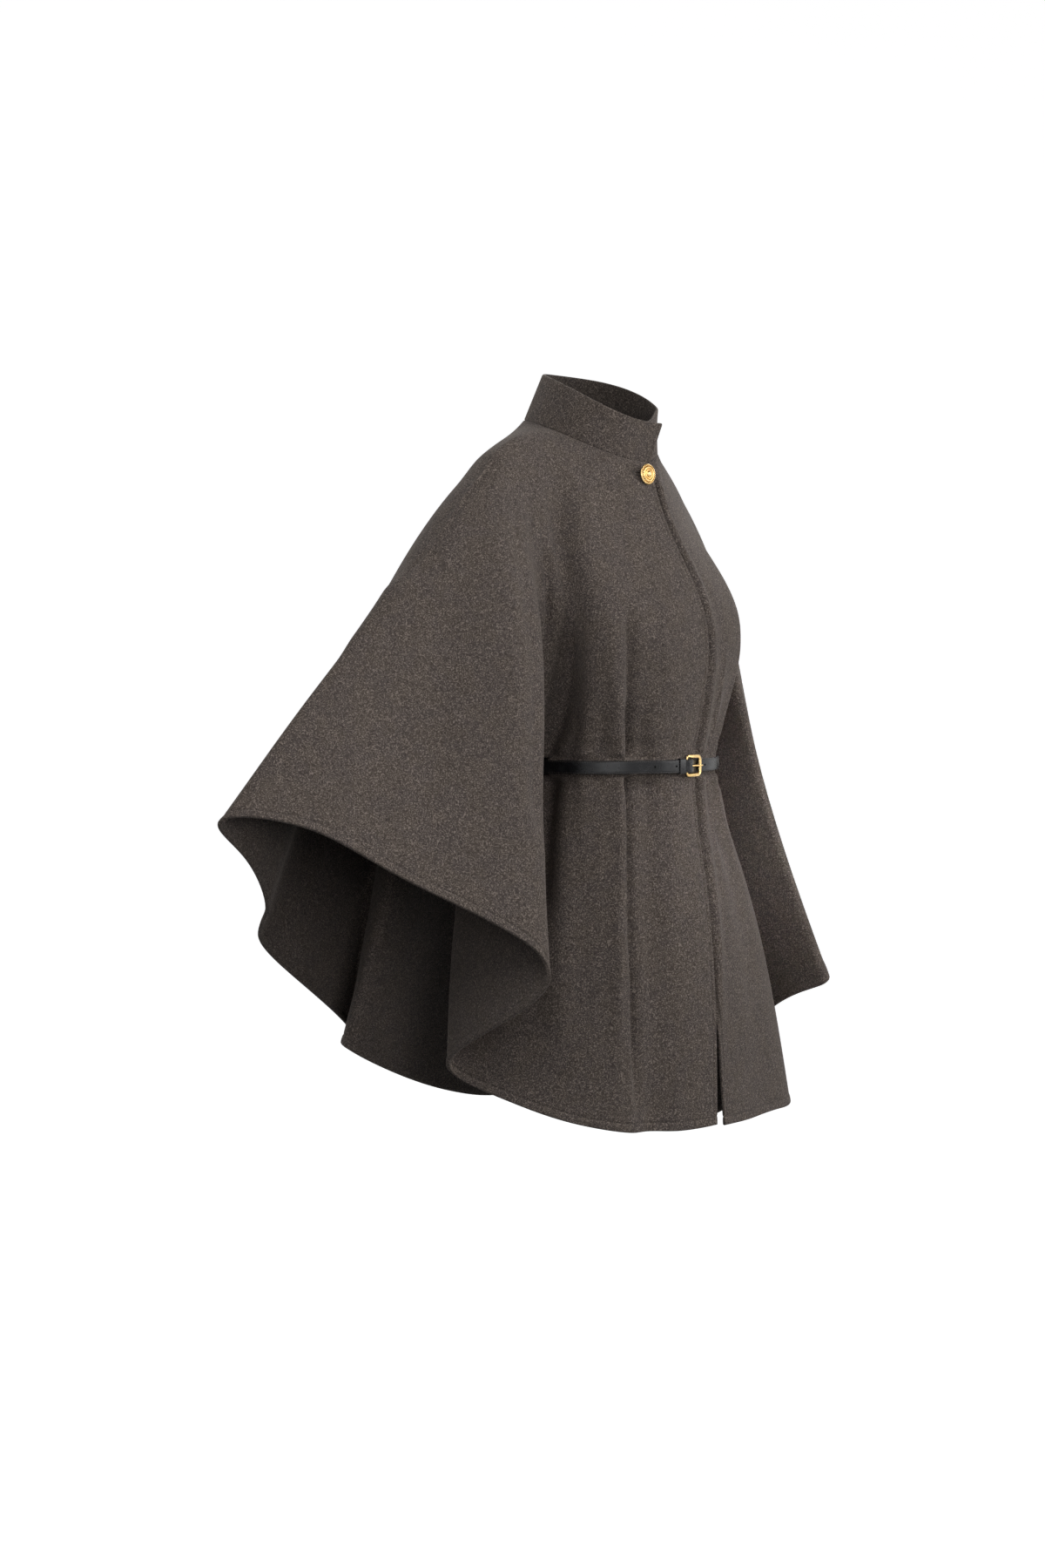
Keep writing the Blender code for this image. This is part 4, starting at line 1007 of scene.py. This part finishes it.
def make_belt(ring, material, thread):
    """Strap of the belt: rounded edges, a creased line beside them, slots and punched holes."""
    route = belt_route(ring)
    path = ring.place(route[:, 0], route[:, 1], 0.0)
    out = unit(np.cross(unit(np.gradient(path, axis=0)), -UP))
    half = BELT_WIDTH / 2.0
    slot = PRONG_SLOT_HEIGHT / 2.0
    upper = np.concatenate((half - np.array(STRAP_STEPS), (slot,)))
    levels = np.concatenate((upper, (0.0,), -upper[::-1]))
    left = route[:, 0] - (TAIL_END - ring.length)
    taper = rounding(left, TAIL_POINT, TAIL_TIP)[:, None]
    spine = np.repeat(path[:, None], len(levels), axis=1)
    spine[:, :, 2] += levels[None, :] * taper
    from_edge = (half - np.abs(levels))[None, :] * taper
    share = (rounding(from_edge, 0.5 * LEATHER, STRAP_LEAST)
             * rounding(left, 0.5 * LEATHER, STRAP_LEAST)[:, None])
    crease = bump(from_edge, STRAP_CREASE)
    outer, inner = two_sides(spine, (0.5 * LEATHER - crease) * share, out[:, None])
    in_tail = (np.arange(len(route)) > len(route) // 2)[:-1]
    along = 0.5 * (route[:-1, 0] + route[1:, 0])
    at_prong = (along + ring.length > PRONG_SLOT[0]) & (along + ring.length < PRONG_SLOT[1])
    slotted = np.where(in_tail, at_prong, along > HEEL_X - HEEL_SLOT)
    in_slot = np.abs(0.5 * (levels[:-1] + levels[1:])) < slot
    piece = make_shell("strap", outer, inner, material, slotted[:, None] & in_slot[None, :])
    punch_holes(piece, ring, route)
    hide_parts("belt")
    upper_line = STRAP_STEPS.index(STRAP_LINE)
    sewn = left > TAIL_POINT
    lines = [(outer[sewn, k], out[sewn]) for k in (upper_line, len(levels) - 1 - upper_line)]
    make_stitches("strap_stitching", lines, STRAP_STITCH, thread)


def punch_holes(strap, ring, route):
    """Cut the buckle holes through the strap's tail."""
    tail = route[len(route) // 2:]
    order = np.argsort(tail[:, 0])
    angle = 2.0 * np.pi * np.arange(HOLE_SIDES) / HOLE_SIDES
    vertices, faces = [], []
    for hole in HOLES:
        faces += ring_faces(2, HOLE_SIDES, len(vertices) * HOLE_SIDES)
        off = np.interp(hole - ring.length, tail[order, 0], tail[order, 1])
        for reach in (-1.0, 1.0):
            vertices.append(ring.place(hole + HOLE_RADIUS * np.cos(angle), off + reach,
                                       HOLE_RADIUS * np.sin(angle)))
    punch = make_object("punch", np.concatenate(vertices) * MM, faces)
    cut = strap.modifiers.new("holes", "BOOLEAN")
    cut.operation = "DIFFERENCE"
    cut.solver = "EXACT"
    cut.object = punch
    graph = bpy.context.evaluated_depsgraph_get()
    result = bpy.data.meshes.new_from_object(strap.evaluated_get(graph))
    strap.modifiers.remove(cut)
    strap.data = result
    bpy.data.objects.remove(punch, do_unlink=True)
    result.shade_smooth()
    result.set_sharp_from_angle(angle=math.radians(HOLE_EDGE_ANGLE))


def make_tube(name, path, radii, sides, material, closed, section=None):
    """Bar along a path with a radius at each point; section scales the radius round the bar."""
    path = np.asarray(path, float)
    count = len(path)
    if closed:
        ahead = unit(np.roll(path, -1, axis=0) - np.roll(path, 1, axis=0))
    else:
        ahead = unit(np.gradient(path, axis=0))
    reference = np.cross(ahead[0], ahead[count // 3])
    if np.linalg.norm(reference) < 1e-6:
        reference = UP
    angle = 2.0 * np.pi * np.arange(sides) / sides
    scale = np.ones(sides) if section is None else section(angle)
    first = unit(reference - ahead * (ahead @ reference)[:, None])
    second = np.cross(ahead, first)
    spokes = np.cos(angle)[None, :, None] * first[:, None] + np.sin(angle)[None, :, None] * second[:, None]
    vertices = path[:, None] + np.asarray(radii)[:, None, None] * scale[None, :, None] * spokes
    faces = ring_faces(count, sides, ends="joined" if closed else "capped")
    return make_mesh(name, vertices.reshape(-1, 3), faces, material)


def corner_turns(steps):
    """Side, top and angle at steps round the four corners of a rectangle."""
    for side, top, start in ((1, 1, 0), (-1, 1, 90), (-1, -1, 180), (1, -1, 270)):
        for turn in np.linspace(start, start + 90, steps):
            yield side, top, math.radians(turn)


def frame_section(angle):
    """Share of the buckle bar's radius round its section, with fine lines along the bar."""
    line = np.zeros_like(angle)
    for place in (-FRAME_LINE, FRAME_LINE, math.pi - FRAME_LINE, math.pi + FRAME_LINE):
        line += bell(np.angle(np.exp(1j * (angle - place))), FRAME_LINE_WIDTH)
    return 1.0 - FRAME_LINE_DEPTH * line


def make_frame(ring, material):
    """Buckle frame: a rounded rectangle of bar with a fine line along it, thinner at the heel."""
    half_height = FRAME_HEIGHT / 2.0 - FRAME_BAR
    path, radii, places = [], [], []
    for side, top, angle in corner_turns(FRAME_CORNER_STEPS):
        reach = FRONT_X if side > 0 else -HEEL_X
        corner = (FRAME_FRONT_CORNER if side > 0 else FRAME_HEEL_CORNER) - FRAME_BAR
        places.append((side * (reach - corner) + corner * math.cos(angle),
                       top * (half_height - corner) + corner * math.sin(angle), corner))
    for (along, z, corner), (next_along, next_z, _) in zip(places, places[1:] + places[:1]):
        steps = max(1, int(math.hypot(next_along - along, next_z - z) / FRAME_SPACING))
        for step in range(steps):
            t = step / steps
            here = along + t * (next_along - along)
            path.append(ring.place(here, FRAME_OFF, z + t * (next_z - z)))
            blend = min(1.0, max(0.0, (here - HEEL_X) / corner))
            radii.append(HEEL_BAR + (FRAME_ROUND - HEEL_BAR) * blend)
    piece = make_tube("frame_of_buckle", path, radii, FRAME_SIDES, material, True, frame_section)
    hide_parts("buckle_frame")


def make_prong(ring, material):
    """Prong: an eye round the heel bar and a pin that rests on the front bar."""
    route = (*round_bar(HEEL_BAR + SEAM_GAP + PRONG_RADIUS, PRONG_EYE), *PRONG_PIN)
    route = smooth_route(route, PRONG_SPACING)
    path = ring.place(route[:, 0], route[:, 1], 0.0)
    to_tip = lengths_along(route[::-1])[::-1]
    radii = PRONG_RADIUS * rounding(to_tip, PRONG_POINT, PRONG_TIP)
    piece = make_tube("prong_of_buckle", path, radii, PRONG_SIDES, material, False)
    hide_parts("buckle_prong")


def make_keeper(ring, material):
    """Keeper: a flat leather loop with rounded edges, round the strap and its tail."""
    low = MAIN_OFF - 0.5 * LEATHER - SEAM_GAP + KEEPER_CORNER
    high = MAIN_OFF + 1.5 * LEATHER + 2.0 * SEAM_GAP - KEEPER_CORNER
    half = 0.5 * BELT_WIDTH + SEAM_GAP - KEEPER_CORNER
    width = KEEPER_ALONG[1] - KEEPER_ALONG[0]
    steps = np.array(KEEPER_STEPS)
    across = np.concatenate((steps, width - steps[::-1]))
    edge = np.minimum(across, width - across)
    share = rounding(edge, 0.5 * KEEPER_WALL, STRAP_LEAST) - bump(edge, KEEPER_CREASE)
    walls = ([], [])
    for side, top, angle in corner_turns(KEEPER_CORNER_STEPS):
        off = high if side > 0 else low
        for rows, sign in zip(walls, (1.0, -1.0)):
            far = KEEPER_CORNER + 0.5 * KEEPER_WALL + sign * 0.5 * KEEPER_WALL * share
            rows.append(ring.place(KEEPER_ALONG[0] + across, off + far * math.cos(angle),
                                   top * half + far * math.sin(angle)))
    outer, inner = (np.array(rows) for rows in walls)
    piece = make_shell("keeper", outer, inner, material, closed=True)
    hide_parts("belt_keeper")


# Button: a shank and a ringed dome, as (radius, height) from the cloth out
BUTTON_LINE = 0.5
BUTTON_STATION = 0.028
BUTTON_UPRIGHT = 0.9
BUTTON_PROFILE = (
    (0.0, 1.6), (2.5, 1.6), (2.6, 2.0), (2.6, 4.6), (2.9, 4.9), (10.4, 5.0), (11.6, 5.6), (12.1, 6.4),
    (12.15, 7.0), (11.7, 7.7), (11.0, 8.0), (10.4, 7.2), (10.0, 6.3), (9.5, 6.2), (9.1, 7.2), (8.7, 8.4),
    (8.0, 9.1), (7.3, 8.9), (6.8, 7.8), (6.5, 6.9), (6.0, 6.9), (5.7, 7.9), (5.3, 8.9), (4.9, 9.1),
    (4.5, 8.3), (4.2, 7.7), (3.9, 8.2), (3.6, 9.4), (3.0, 10.4), (2.1, 11.0), (1.0, 11.3), (0.0, 11.4),
)
BEAD_RING = 10.6
BEAD_HEIGHT = 8.0
BEAD_RADIUS = 0.95
BEADS = 26
BEAD_RINGS = 7
BEAD_SIDES = 12
BEAD_POLE = 0.04
BUTTON_SIDES = 96
BUTTON_LEAST = 0.02


def make_button(form, material):
    """Domed shank button with rings, a rim of beads and a round middle."""
    foot, axis = form.at(BUTTON_LINE, BUTTON_STATION)
    axis = unit(axis * np.array((1.0, 1.0, 1.0 - BUTTON_UPRIGHT)))
    side = unit(np.cross(axis, UP))
    up = np.cross(side, axis)
    vertices = [ring_points(foot + height * axis, max(radius, BUTTON_LEAST), side, up, BUTTON_SIDES)
                for radius, height in BUTTON_PROFILE]
    faces = [face[::-1] for face in ring_faces(len(BUTTON_PROFILE), BUTTON_SIDES, ends="open")]
    start = len(BUTTON_PROFILE) * BUTTON_SIDES
    for middle in ring_points(foot + BEAD_HEIGHT * axis, BEAD_RING, side, up, BEADS):
        faces += ring_faces(BEAD_RINGS, BEAD_SIDES, start)
        start += BEAD_RINGS * BEAD_SIDES
        for polar in np.pi * np.linspace(BEAD_POLE, 1.0 - BEAD_POLE, BEAD_RINGS):
            vertices.append(ring_points(middle + BEAD_RADIUS * np.cos(polar) * axis,
                                        BEAD_RADIUS * np.sin(polar), side, up, BEAD_SIDES))
    piece = make_mesh("button_at_neck", np.concatenate(vertices), faces, material)
    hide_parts("button")


# Buttonhole
BUTTONHOLE_ENDS = (9.0, -16.0)
BUTTONHOLE_HALF = 2.1
BUTTONHOLE_THREAD = 0.75
BUTTONHOLE_STITCH = 1.1
BUTTONHOLE_TWIST = 0.18
BUTTONHOLE_RISE = 0.3
BUTTONHOLE_STEPS = 7
BUTTONHOLE_POINTS = 110
BUTTONHOLE_SIDES = 10
BUTTONHOLE_READ = 0.1


def make_buttonhole(form, material):
    """Worked buttonhole under the button: a ring of close stitches round the slit."""
    def pace(line, station):
        """Millimetres to a line or to a station at the button, read over a short way."""
        ahead = form.at(BUTTON_LINE + line, BUTTON_STATION + station)[0]
        behind = form.at(BUTTON_LINE - line, BUTTON_STATION - station)[0]
        return np.linalg.norm(ahead - behind) / (2.0 * (line + station))

    outline = []
    for end, start in zip(BUTTONHOLE_ENDS, (-90.0, 90.0)):
        for angle in np.radians(np.linspace(start, start + 180.0, BUTTONHOLE_STEPS)):
            outline.append((end + BUTTONHOLE_HALF * np.cos(angle), BUTTONHOLE_HALF * np.sin(angle)))
    outline = np.array(outline + outline[:1])
    along = lengths_along(outline)
    at = np.linspace(0.0, along[-1], BUTTONHOLE_POINTS, endpoint=False)
    per_line, per_station = pace(BUTTONHOLE_READ, 0.0), pace(0.0, READ_STATION)
    path = []
    for aside, up in read_path(at, along, outline):
        point, normal = form.at(BUTTON_LINE - aside / per_line, BUTTON_STATION - up / per_station)
        path.append(point + BUTTONHOLE_RISE * BUTTONHOLE_THREAD * normal)
    twist = np.abs(np.sin(np.pi * at / BUTTONHOLE_STITCH))
    radii = BUTTONHOLE_THREAD * (1.0 - BUTTONHOLE_TWIST * (1.0 - twist))
    make_tube("buttonhole_stitches", path, radii, BUTTONHOLE_SIDES, material, True)


class Nodes:
    """Short way to write a material's nodes."""

    def __init__(self, name):
        self.material = bpy.data.materials.new(name)
        self.material.use_nodes = True
        self.tree = self.material.node_tree
        self.shader = self.tree.nodes["Principled BSDF"]
        self.coordinates = self.tree.nodes.new("ShaderNodeTexCoord").outputs["Object"]

    def set(self, **sockets):
        for name, value in sockets.items():
            self.shader.inputs[name.replace("_", " ")].default_value = value

    def link(self, output, name):
        self.tree.links.new(output, self.shader.inputs[name])

    def add(self, kind, inputs, **settings):
        """New node with its settings, and with inputs that are values or outputs of other nodes."""
        node = self.tree.nodes.new(kind)
        for name, value in settings.items():
            setattr(node, name, value)
        for socket, value in inputs.items():
            if isinstance(value, bpy.types.NodeSocket):
                self.tree.links.new(value, node.inputs[socket])
            else:
                node.inputs[socket].default_value = value
        return node

    def noise(self, scale, detail, rough=0.5, at=None):
        inputs = {"Vector": self.coordinates if at is None else at, "Scale": scale, "Detail": detail,
                  "Roughness": rough}
        return self.add("ShaderNodeTexNoise", inputs).outputs["Fac"]

    def curls(self, scale, bands, at):
        """Curled bands: the level lines of a noise, close together and bending with it."""
        level = self.math("MULTIPLY", self.noise(scale, 0.0, at=at), 2.0 * math.pi * bands)
        return self.math("SINE", level)

    def moved(self, offset, stretch=(1.0, 1.0, 1.0)):
        inputs = {"Vector": self.coordinates, "Location": offset, "Scale": stretch}
        return self.add("ShaderNodeMapping", inputs).outputs["Vector"]

    def math(self, operation, *values):
        return self.add("ShaderNodeMath", dict(enumerate(values)), operation=operation).outputs[0]

    def steps(self, value, low, high, to_low=0.0, to_high=1.0):
        inputs = {"Value": value, "From Min": low, "From Max": high, "To Min": to_low, "To Max": to_high}
        return self.add("ShaderNodeMapRange", inputs, interpolation_type="SMOOTHSTEP").outputs["Result"]

    def mix(self, factor, first, second):
        first, second = ((*tone, 1.0) if isinstance(tone, tuple) else tone for tone in (first, second))
        return self.add("ShaderNodeMix", {0: factor, 6: first, 7: second}, data_type="RGBA").outputs[2]

    def tones(self, value, low, high, first, second):
        """Base colour that goes from one tone to another as a value rises."""
        self.link(self.mix(self.steps(value, low, high), first, second), "Base Color")

    def bump(self, height, strength, distance):
        node = self.add("ShaderNodeBump", {"Height": height, "Strength": strength, "Distance": distance})
        self.link(node.outputs["Normal"], "Normal")


# Colours of the materials, scales of their patterns to a metre, and heights of their relief in metres
WOOL_DARK = (0.027, 0.0211, 0.0184)
WOOL_BROWN = (0.070, 0.0565, 0.0482)
WOOL_GREY = (0.066, 0.0540, 0.0492)
WOOL_LIGHT = (0.200, 0.164, 0.141)
THREAD_DARK = (0.030, 0.024, 0.021)
THREAD_LIGHT = (0.075, 0.062, 0.054)
LEATHER_BLACK = (0.005, 0.005, 0.006)
LEATHER_WORN = (0.011, 0.011, 0.012)
BRASS_BRIGHT = (0.62, 0.44, 0.20)
BRASS_DULL = (0.44, 0.29, 0.11)
PAPER_LIGHT = (0.60, 0.60, 0.60)
PAPER_DARK = (0.59, 0.59, 0.59)
PAPER_GLOW = 0.93
WOOL_CLOUD = 40.0
WOOL_CURL = 205.0
WOOL_CROSS = 250.0
WOOL_CHOICE = 260.0
WOOL_MOTTLE = 700.0
THREAD_TWIST = 1400.0
LEATHER_GRAIN = 1500.0
LEATHER_WEAR = 70.0
BRASS_TARNISH = 140.0
BRASS_SCRATCH = 900.0
PAPER_SHADE = 2.0
WOOL_RELIEF = 0.0005
LEATHER_RELIEF = 0.0002
BRASS_RELIEF = 0.0001


def wool_material(name, share):
    """Brushed melange wool: short curled light and dark fibres, soft clouds and a low sheen; a share below
    1 darkens every tone into painted shade.
    """
    nodes = Nodes(name)
    dark, brown, grey, pale = (tuple(share * part for part in tone)
                               for tone in (WOOL_DARK, WOOL_BROWN, WOOL_GREY, WOOL_LIGHT))
    cloud = nodes.noise(WOOL_CLOUD, 1.0)
    ground = nodes.mix(nodes.steps(cloud, 0.38, 0.62), brown, grey)
    curl = nodes.curls(WOOL_CURL, 4.2, nodes.coordinates)
    cross = nodes.curls(WOOL_CROSS, 3.8, nodes.moved((3.1, 1.7, 5.3)))
    choice = nodes.steps(nodes.noise(WOOL_CHOICE, 0.0, at=nodes.moved((9.0, 2.0, 3.0))), 0.44, 0.56)
    mottle = nodes.noise(WOOL_MOTTLE, 1.0, 0.6)
    nap = nodes.math("ADD", nodes.math("MULTIPLY", curl, choice),
                     nodes.math("MULTIPLY", cross, nodes.math("SUBTRACT", 1.0, choice)))
    nap = nodes.math("ADD", nodes.math("MULTIPLY", nap, 0.5),
                     nodes.math("MULTIPLY", nodes.math("SUBTRACT", mottle, 0.5), 1.8))
    colour = nodes.mix(nodes.steps(nap, -1.0, -0.1), dark, ground)
    colour = nodes.mix(nodes.steps(nap, 0.05, 0.85), colour, pale)
    nodes.link(colour, "Base Color")
    nodes.bump(nap, 0.35, WOOL_RELIEF)
    nodes.set(Roughness=0.95, Sheen_Weight=0.10, Sheen_Roughness=0.5, Sheen_Tint=(0.9, 0.82, 0.76, 1.0))
    nodes.set(Specular_IOR_Level=0.1)
    return nodes.material


def thread_material():
    """Sewing thread a little darker than the wool, with its twist."""
    nodes = Nodes("thread")
    twist = nodes.noise(THREAD_TWIST, 1.0)
    nodes.tones(twist, 0.35, 0.65, THREAD_DARK, THREAD_LIGHT)
    nodes.set(Roughness=0.7, Specular_IOR_Level=0.25)
    return nodes.material


def leather_material():
    """Black leather: fine grain, a little wear and a soft gloss."""
    nodes = Nodes("leather")
    grain = nodes.add("ShaderNodeTexVoronoi", {"Vector": nodes.coordinates, "Scale": LEATHER_GRAIN},
                      feature="DISTANCE_TO_EDGE")
    cells = nodes.steps(grain.outputs["Distance"], 0.0, 0.12)
    wear = nodes.noise(LEATHER_WEAR, 4.0)
    nodes.tones(wear, 0.45, 0.75, LEATHER_BLACK, LEATHER_WORN)
    nodes.link(nodes.steps(wear, 0.3, 0.7, 0.20, 0.32), "Roughness")
    nodes.bump(nodes.math("ADD", cells, nodes.math("MULTIPLY", wear, 0.8)), 0.12, LEATHER_RELIEF)
    nodes.set(Specular_IOR_Level=0.22)
    return nodes.material


def brass_material():
    """Polished gold-tone brass with faint tarnish and fine scratches."""
    nodes = Nodes("brass")
    tarnish = nodes.noise(BRASS_TARNISH, 4.0)
    scratch = nodes.noise(BRASS_SCRATCH, 2.0, at=nodes.moved((0.0, 0.0, 0.0), (1.0, 1.0, 0.12)))
    nodes.tones(tarnish, 0.42, 0.75, BRASS_BRIGHT, BRASS_DULL)
    nodes.link(nodes.steps(tarnish, 0.3, 0.75, 0.20, 0.34), "Roughness")
    nodes.bump(scratch, 0.05, BRASS_RELIEF)
    nodes.set(Metallic=1.0)
    return nodes.material


def floor_material():
    """Pale paper, lit from behind so that it stays near white all round."""
    nodes = Nodes("floor")
    shade = nodes.noise(PAPER_SHADE, 1.0)
    nodes.tones(shade, 0.3, 0.7, PAPER_LIGHT, PAPER_DARK)
    nodes.set(Roughness=0.9, Specular_IOR_Level=0.0)
    nodes.set(Emission_Color=(1.0, 1.0, 1.0, 1.0), Emission_Strength=PAPER_GLOW)
    return nodes.material


# Studio, in metres and degrees
VIEW_TURN = -50.0
CAMERA_DISTANCE = 3.2
CAMERA_RIGHT = -0.0894
CAMERA_HEIGHT = -0.27
CAMERA_PITCH = 2.79
CAMERA_LENS = 61.54
CAMERA_SENSOR = 36.0
CAMERA_REACH = 100.0
FLOOR_Z = -1.45
FLOOR_FLAT = 3.2
FLOOR_BEND = 2.8
FLOOR_HEIGHT = 8.0
FLOOR_SIDES = 72
FLOOR_BEND_STEPS = 12
FLOOR_MIDDLE = 0.02
LAMP_DISTANCE = 2.7
CENTRE = (0.0, 0.0, -0.42)
LEFT_SLEEVE = (0.27, -0.08, -0.48)
WIDE = 180.0
Lamp = namedtuple("Lamp", "name turn rise size power spread aim", defaults=(WIDE, CENTRE))
LAMPS = (
    Lamp("high_side", -75.0, 40.0, 1.2, 20.5),
    Lamp("low_side", -75.0, 10.0, 1.2, 6.5),
    Lamp("front", -30.0, 10.0, 1.2, 16.0),
    Lamp("near_camera", -44.0, 3.0, 0.4, 3.2),
    Lamp("high_front", 15.0, 40.0, 1.2, 24.0),
    Lamp("low_front", 15.0, 10.0, 1.2, 14.0),
    Lamp("far_side", 40.0, 10.0, 1.2, 16.0),
    Lamp("left_sleeve", -42.0, 4.0, 0.15, 0.16, 10.0, LEFT_SLEEVE),
    Lamp("behind_right", -165.0, 30.0, 1.6, 20.0),
    Lamp("behind_left", 120.0, 35.0, 1.6, 34.0),
)
WORLD_STRENGTH = 0.03


def view_direction(turn, rise):
    """Direction from the cape to a place seen at a turn and a rise in degrees."""
    a, e = math.radians(turn), math.radians(rise)
    return np.array((math.sin(a) * math.cos(e), -math.cos(a) * math.cos(e), math.sin(e)))


def look_at(thing, direction):
    """Turn a camera or a lamp, which look along their -Z, so that it looks along a direction."""
    forward = unit(np.asarray(direction, float))
    right = unit(np.cross(forward, UP))
    up = np.cross(right, forward)
    turned = Matrix(np.stack((right, up, -forward), axis=1).tolist())
    thing.rotation_euler = turned.to_euler()


def make_floor():
    """Pale floor that curves up all round."""
    profile = [(FLOOR_MIDDLE, 0.0), (0.5 * FLOOR_FLAT, 0.0), (FLOOR_FLAT, 0.0)]
    for angle in np.radians(np.linspace(0.0, 90.0, FLOOR_BEND_STEPS + 1)[1:]):
        profile.append((FLOOR_FLAT + FLOOR_BEND * np.sin(angle), FLOOR_BEND * (1.0 - np.cos(angle))))
    profile.append((FLOOR_FLAT + FLOOR_BEND, FLOOR_HEIGHT))
    across, back, above = np.eye(3)
    rings = [ring_points((FLOOR_Z + up) * above, far, across, back, FLOOR_SIDES) for far, up in profile]
    faces = ring_faces(len(profile), FLOOR_SIDES, ends="open")
    faces.append(tuple(reversed(range(FLOOR_SIDES))))
    floor = make_object("floor", np.concatenate(rings), faces)
    floor.data.materials.append(floor_material())
    floor.visible_diffuse = False
    floor.visible_shadow = False


def make_lamps():
    """Soft lamps round the cape, and a faint light from everywhere."""
    scene = bpy.context.scene
    for lamp in LAMPS:
        light = bpy.data.lights.new(lamp.name, "AREA")
        light.shape = "DISK"
        light.size = lamp.size
        light.spread = math.radians(lamp.spread)
        light.energy = lamp.power
        made = bpy.data.objects.new(lamp.name, light)
        toward = view_direction(lamp.turn, lamp.rise)
        made.location = np.array(lamp.aim) + LAMP_DISTANCE * toward
        scene.collection.objects.link(made)
        look_at(made, -toward)
    world = bpy.data.worlds.new("studio")
    world.use_nodes = True
    background = world.node_tree.nodes["Background"]
    background.inputs["Color"].default_value = (1.0, 1.0, 1.0, 1.0)
    background.inputs["Strength"].default_value = WORLD_STRENGTH
    scene.world = world


def make_camera():
    """Camera at the picture's angle."""
    scene = bpy.context.scene
    forward = -view_direction(VIEW_TURN, 0.0)
    right = np.cross(forward, UP)
    data = bpy.data.cameras.new("camera")
    data.lens = CAMERA_LENS
    data.sensor_width = CAMERA_SENSOR
    data.sensor_fit = "AUTO"
    data.clip_end = CAMERA_REACH
    camera = bpy.data.objects.new("camera", data)
    camera.location = -CAMERA_DISTANCE * forward + CAMERA_RIGHT * right + CAMERA_HEIGHT * UP
    scene.collection.objects.link(camera)
    pitch = math.radians(CAMERA_PITCH)
    look_at(camera, math.cos(pitch) * forward - math.sin(pitch) * UP)
    scene.camera = camera
    scene.view_settings.view_transform = "Standard"


def main():
    """Make every piece, hide the solids it stands for, and light the scene."""
    wool, leather, brass = wool_material("wool", 1.0), leather_material(), brass_material()
    # Darker copy of the wool for the collar's inner faces: painted shade.
    wool_painted_shade = wool_material("wool_painted_shade", COLLAR_PAINTED_SHADE)
    form = CapeForm()
    rows = cape_rows(form)
    thread = thread_material()
    panels, lines = {}, []
    for name in ("front_right", "back", "front_left"):
        panels[name], stitched = make_panel(form, rows, name, wool)
        lines += stitched
    collar, stitched = make_collar(form, rows, wool, wool_painted_shade)
    make_stitches("topstitching", lines + stitched, WOOL_STITCH, thread)
    ring = BeltRing()
    make_belt(ring, leather, thread)
    make_keeper(ring, leather)
    make_frame(ring, brass)
    make_prong(ring, brass)
    make_button(form, brass)
    make_buttonhole(form, thread)
    make_floor()
    make_lamps()
    make_camera()


main()
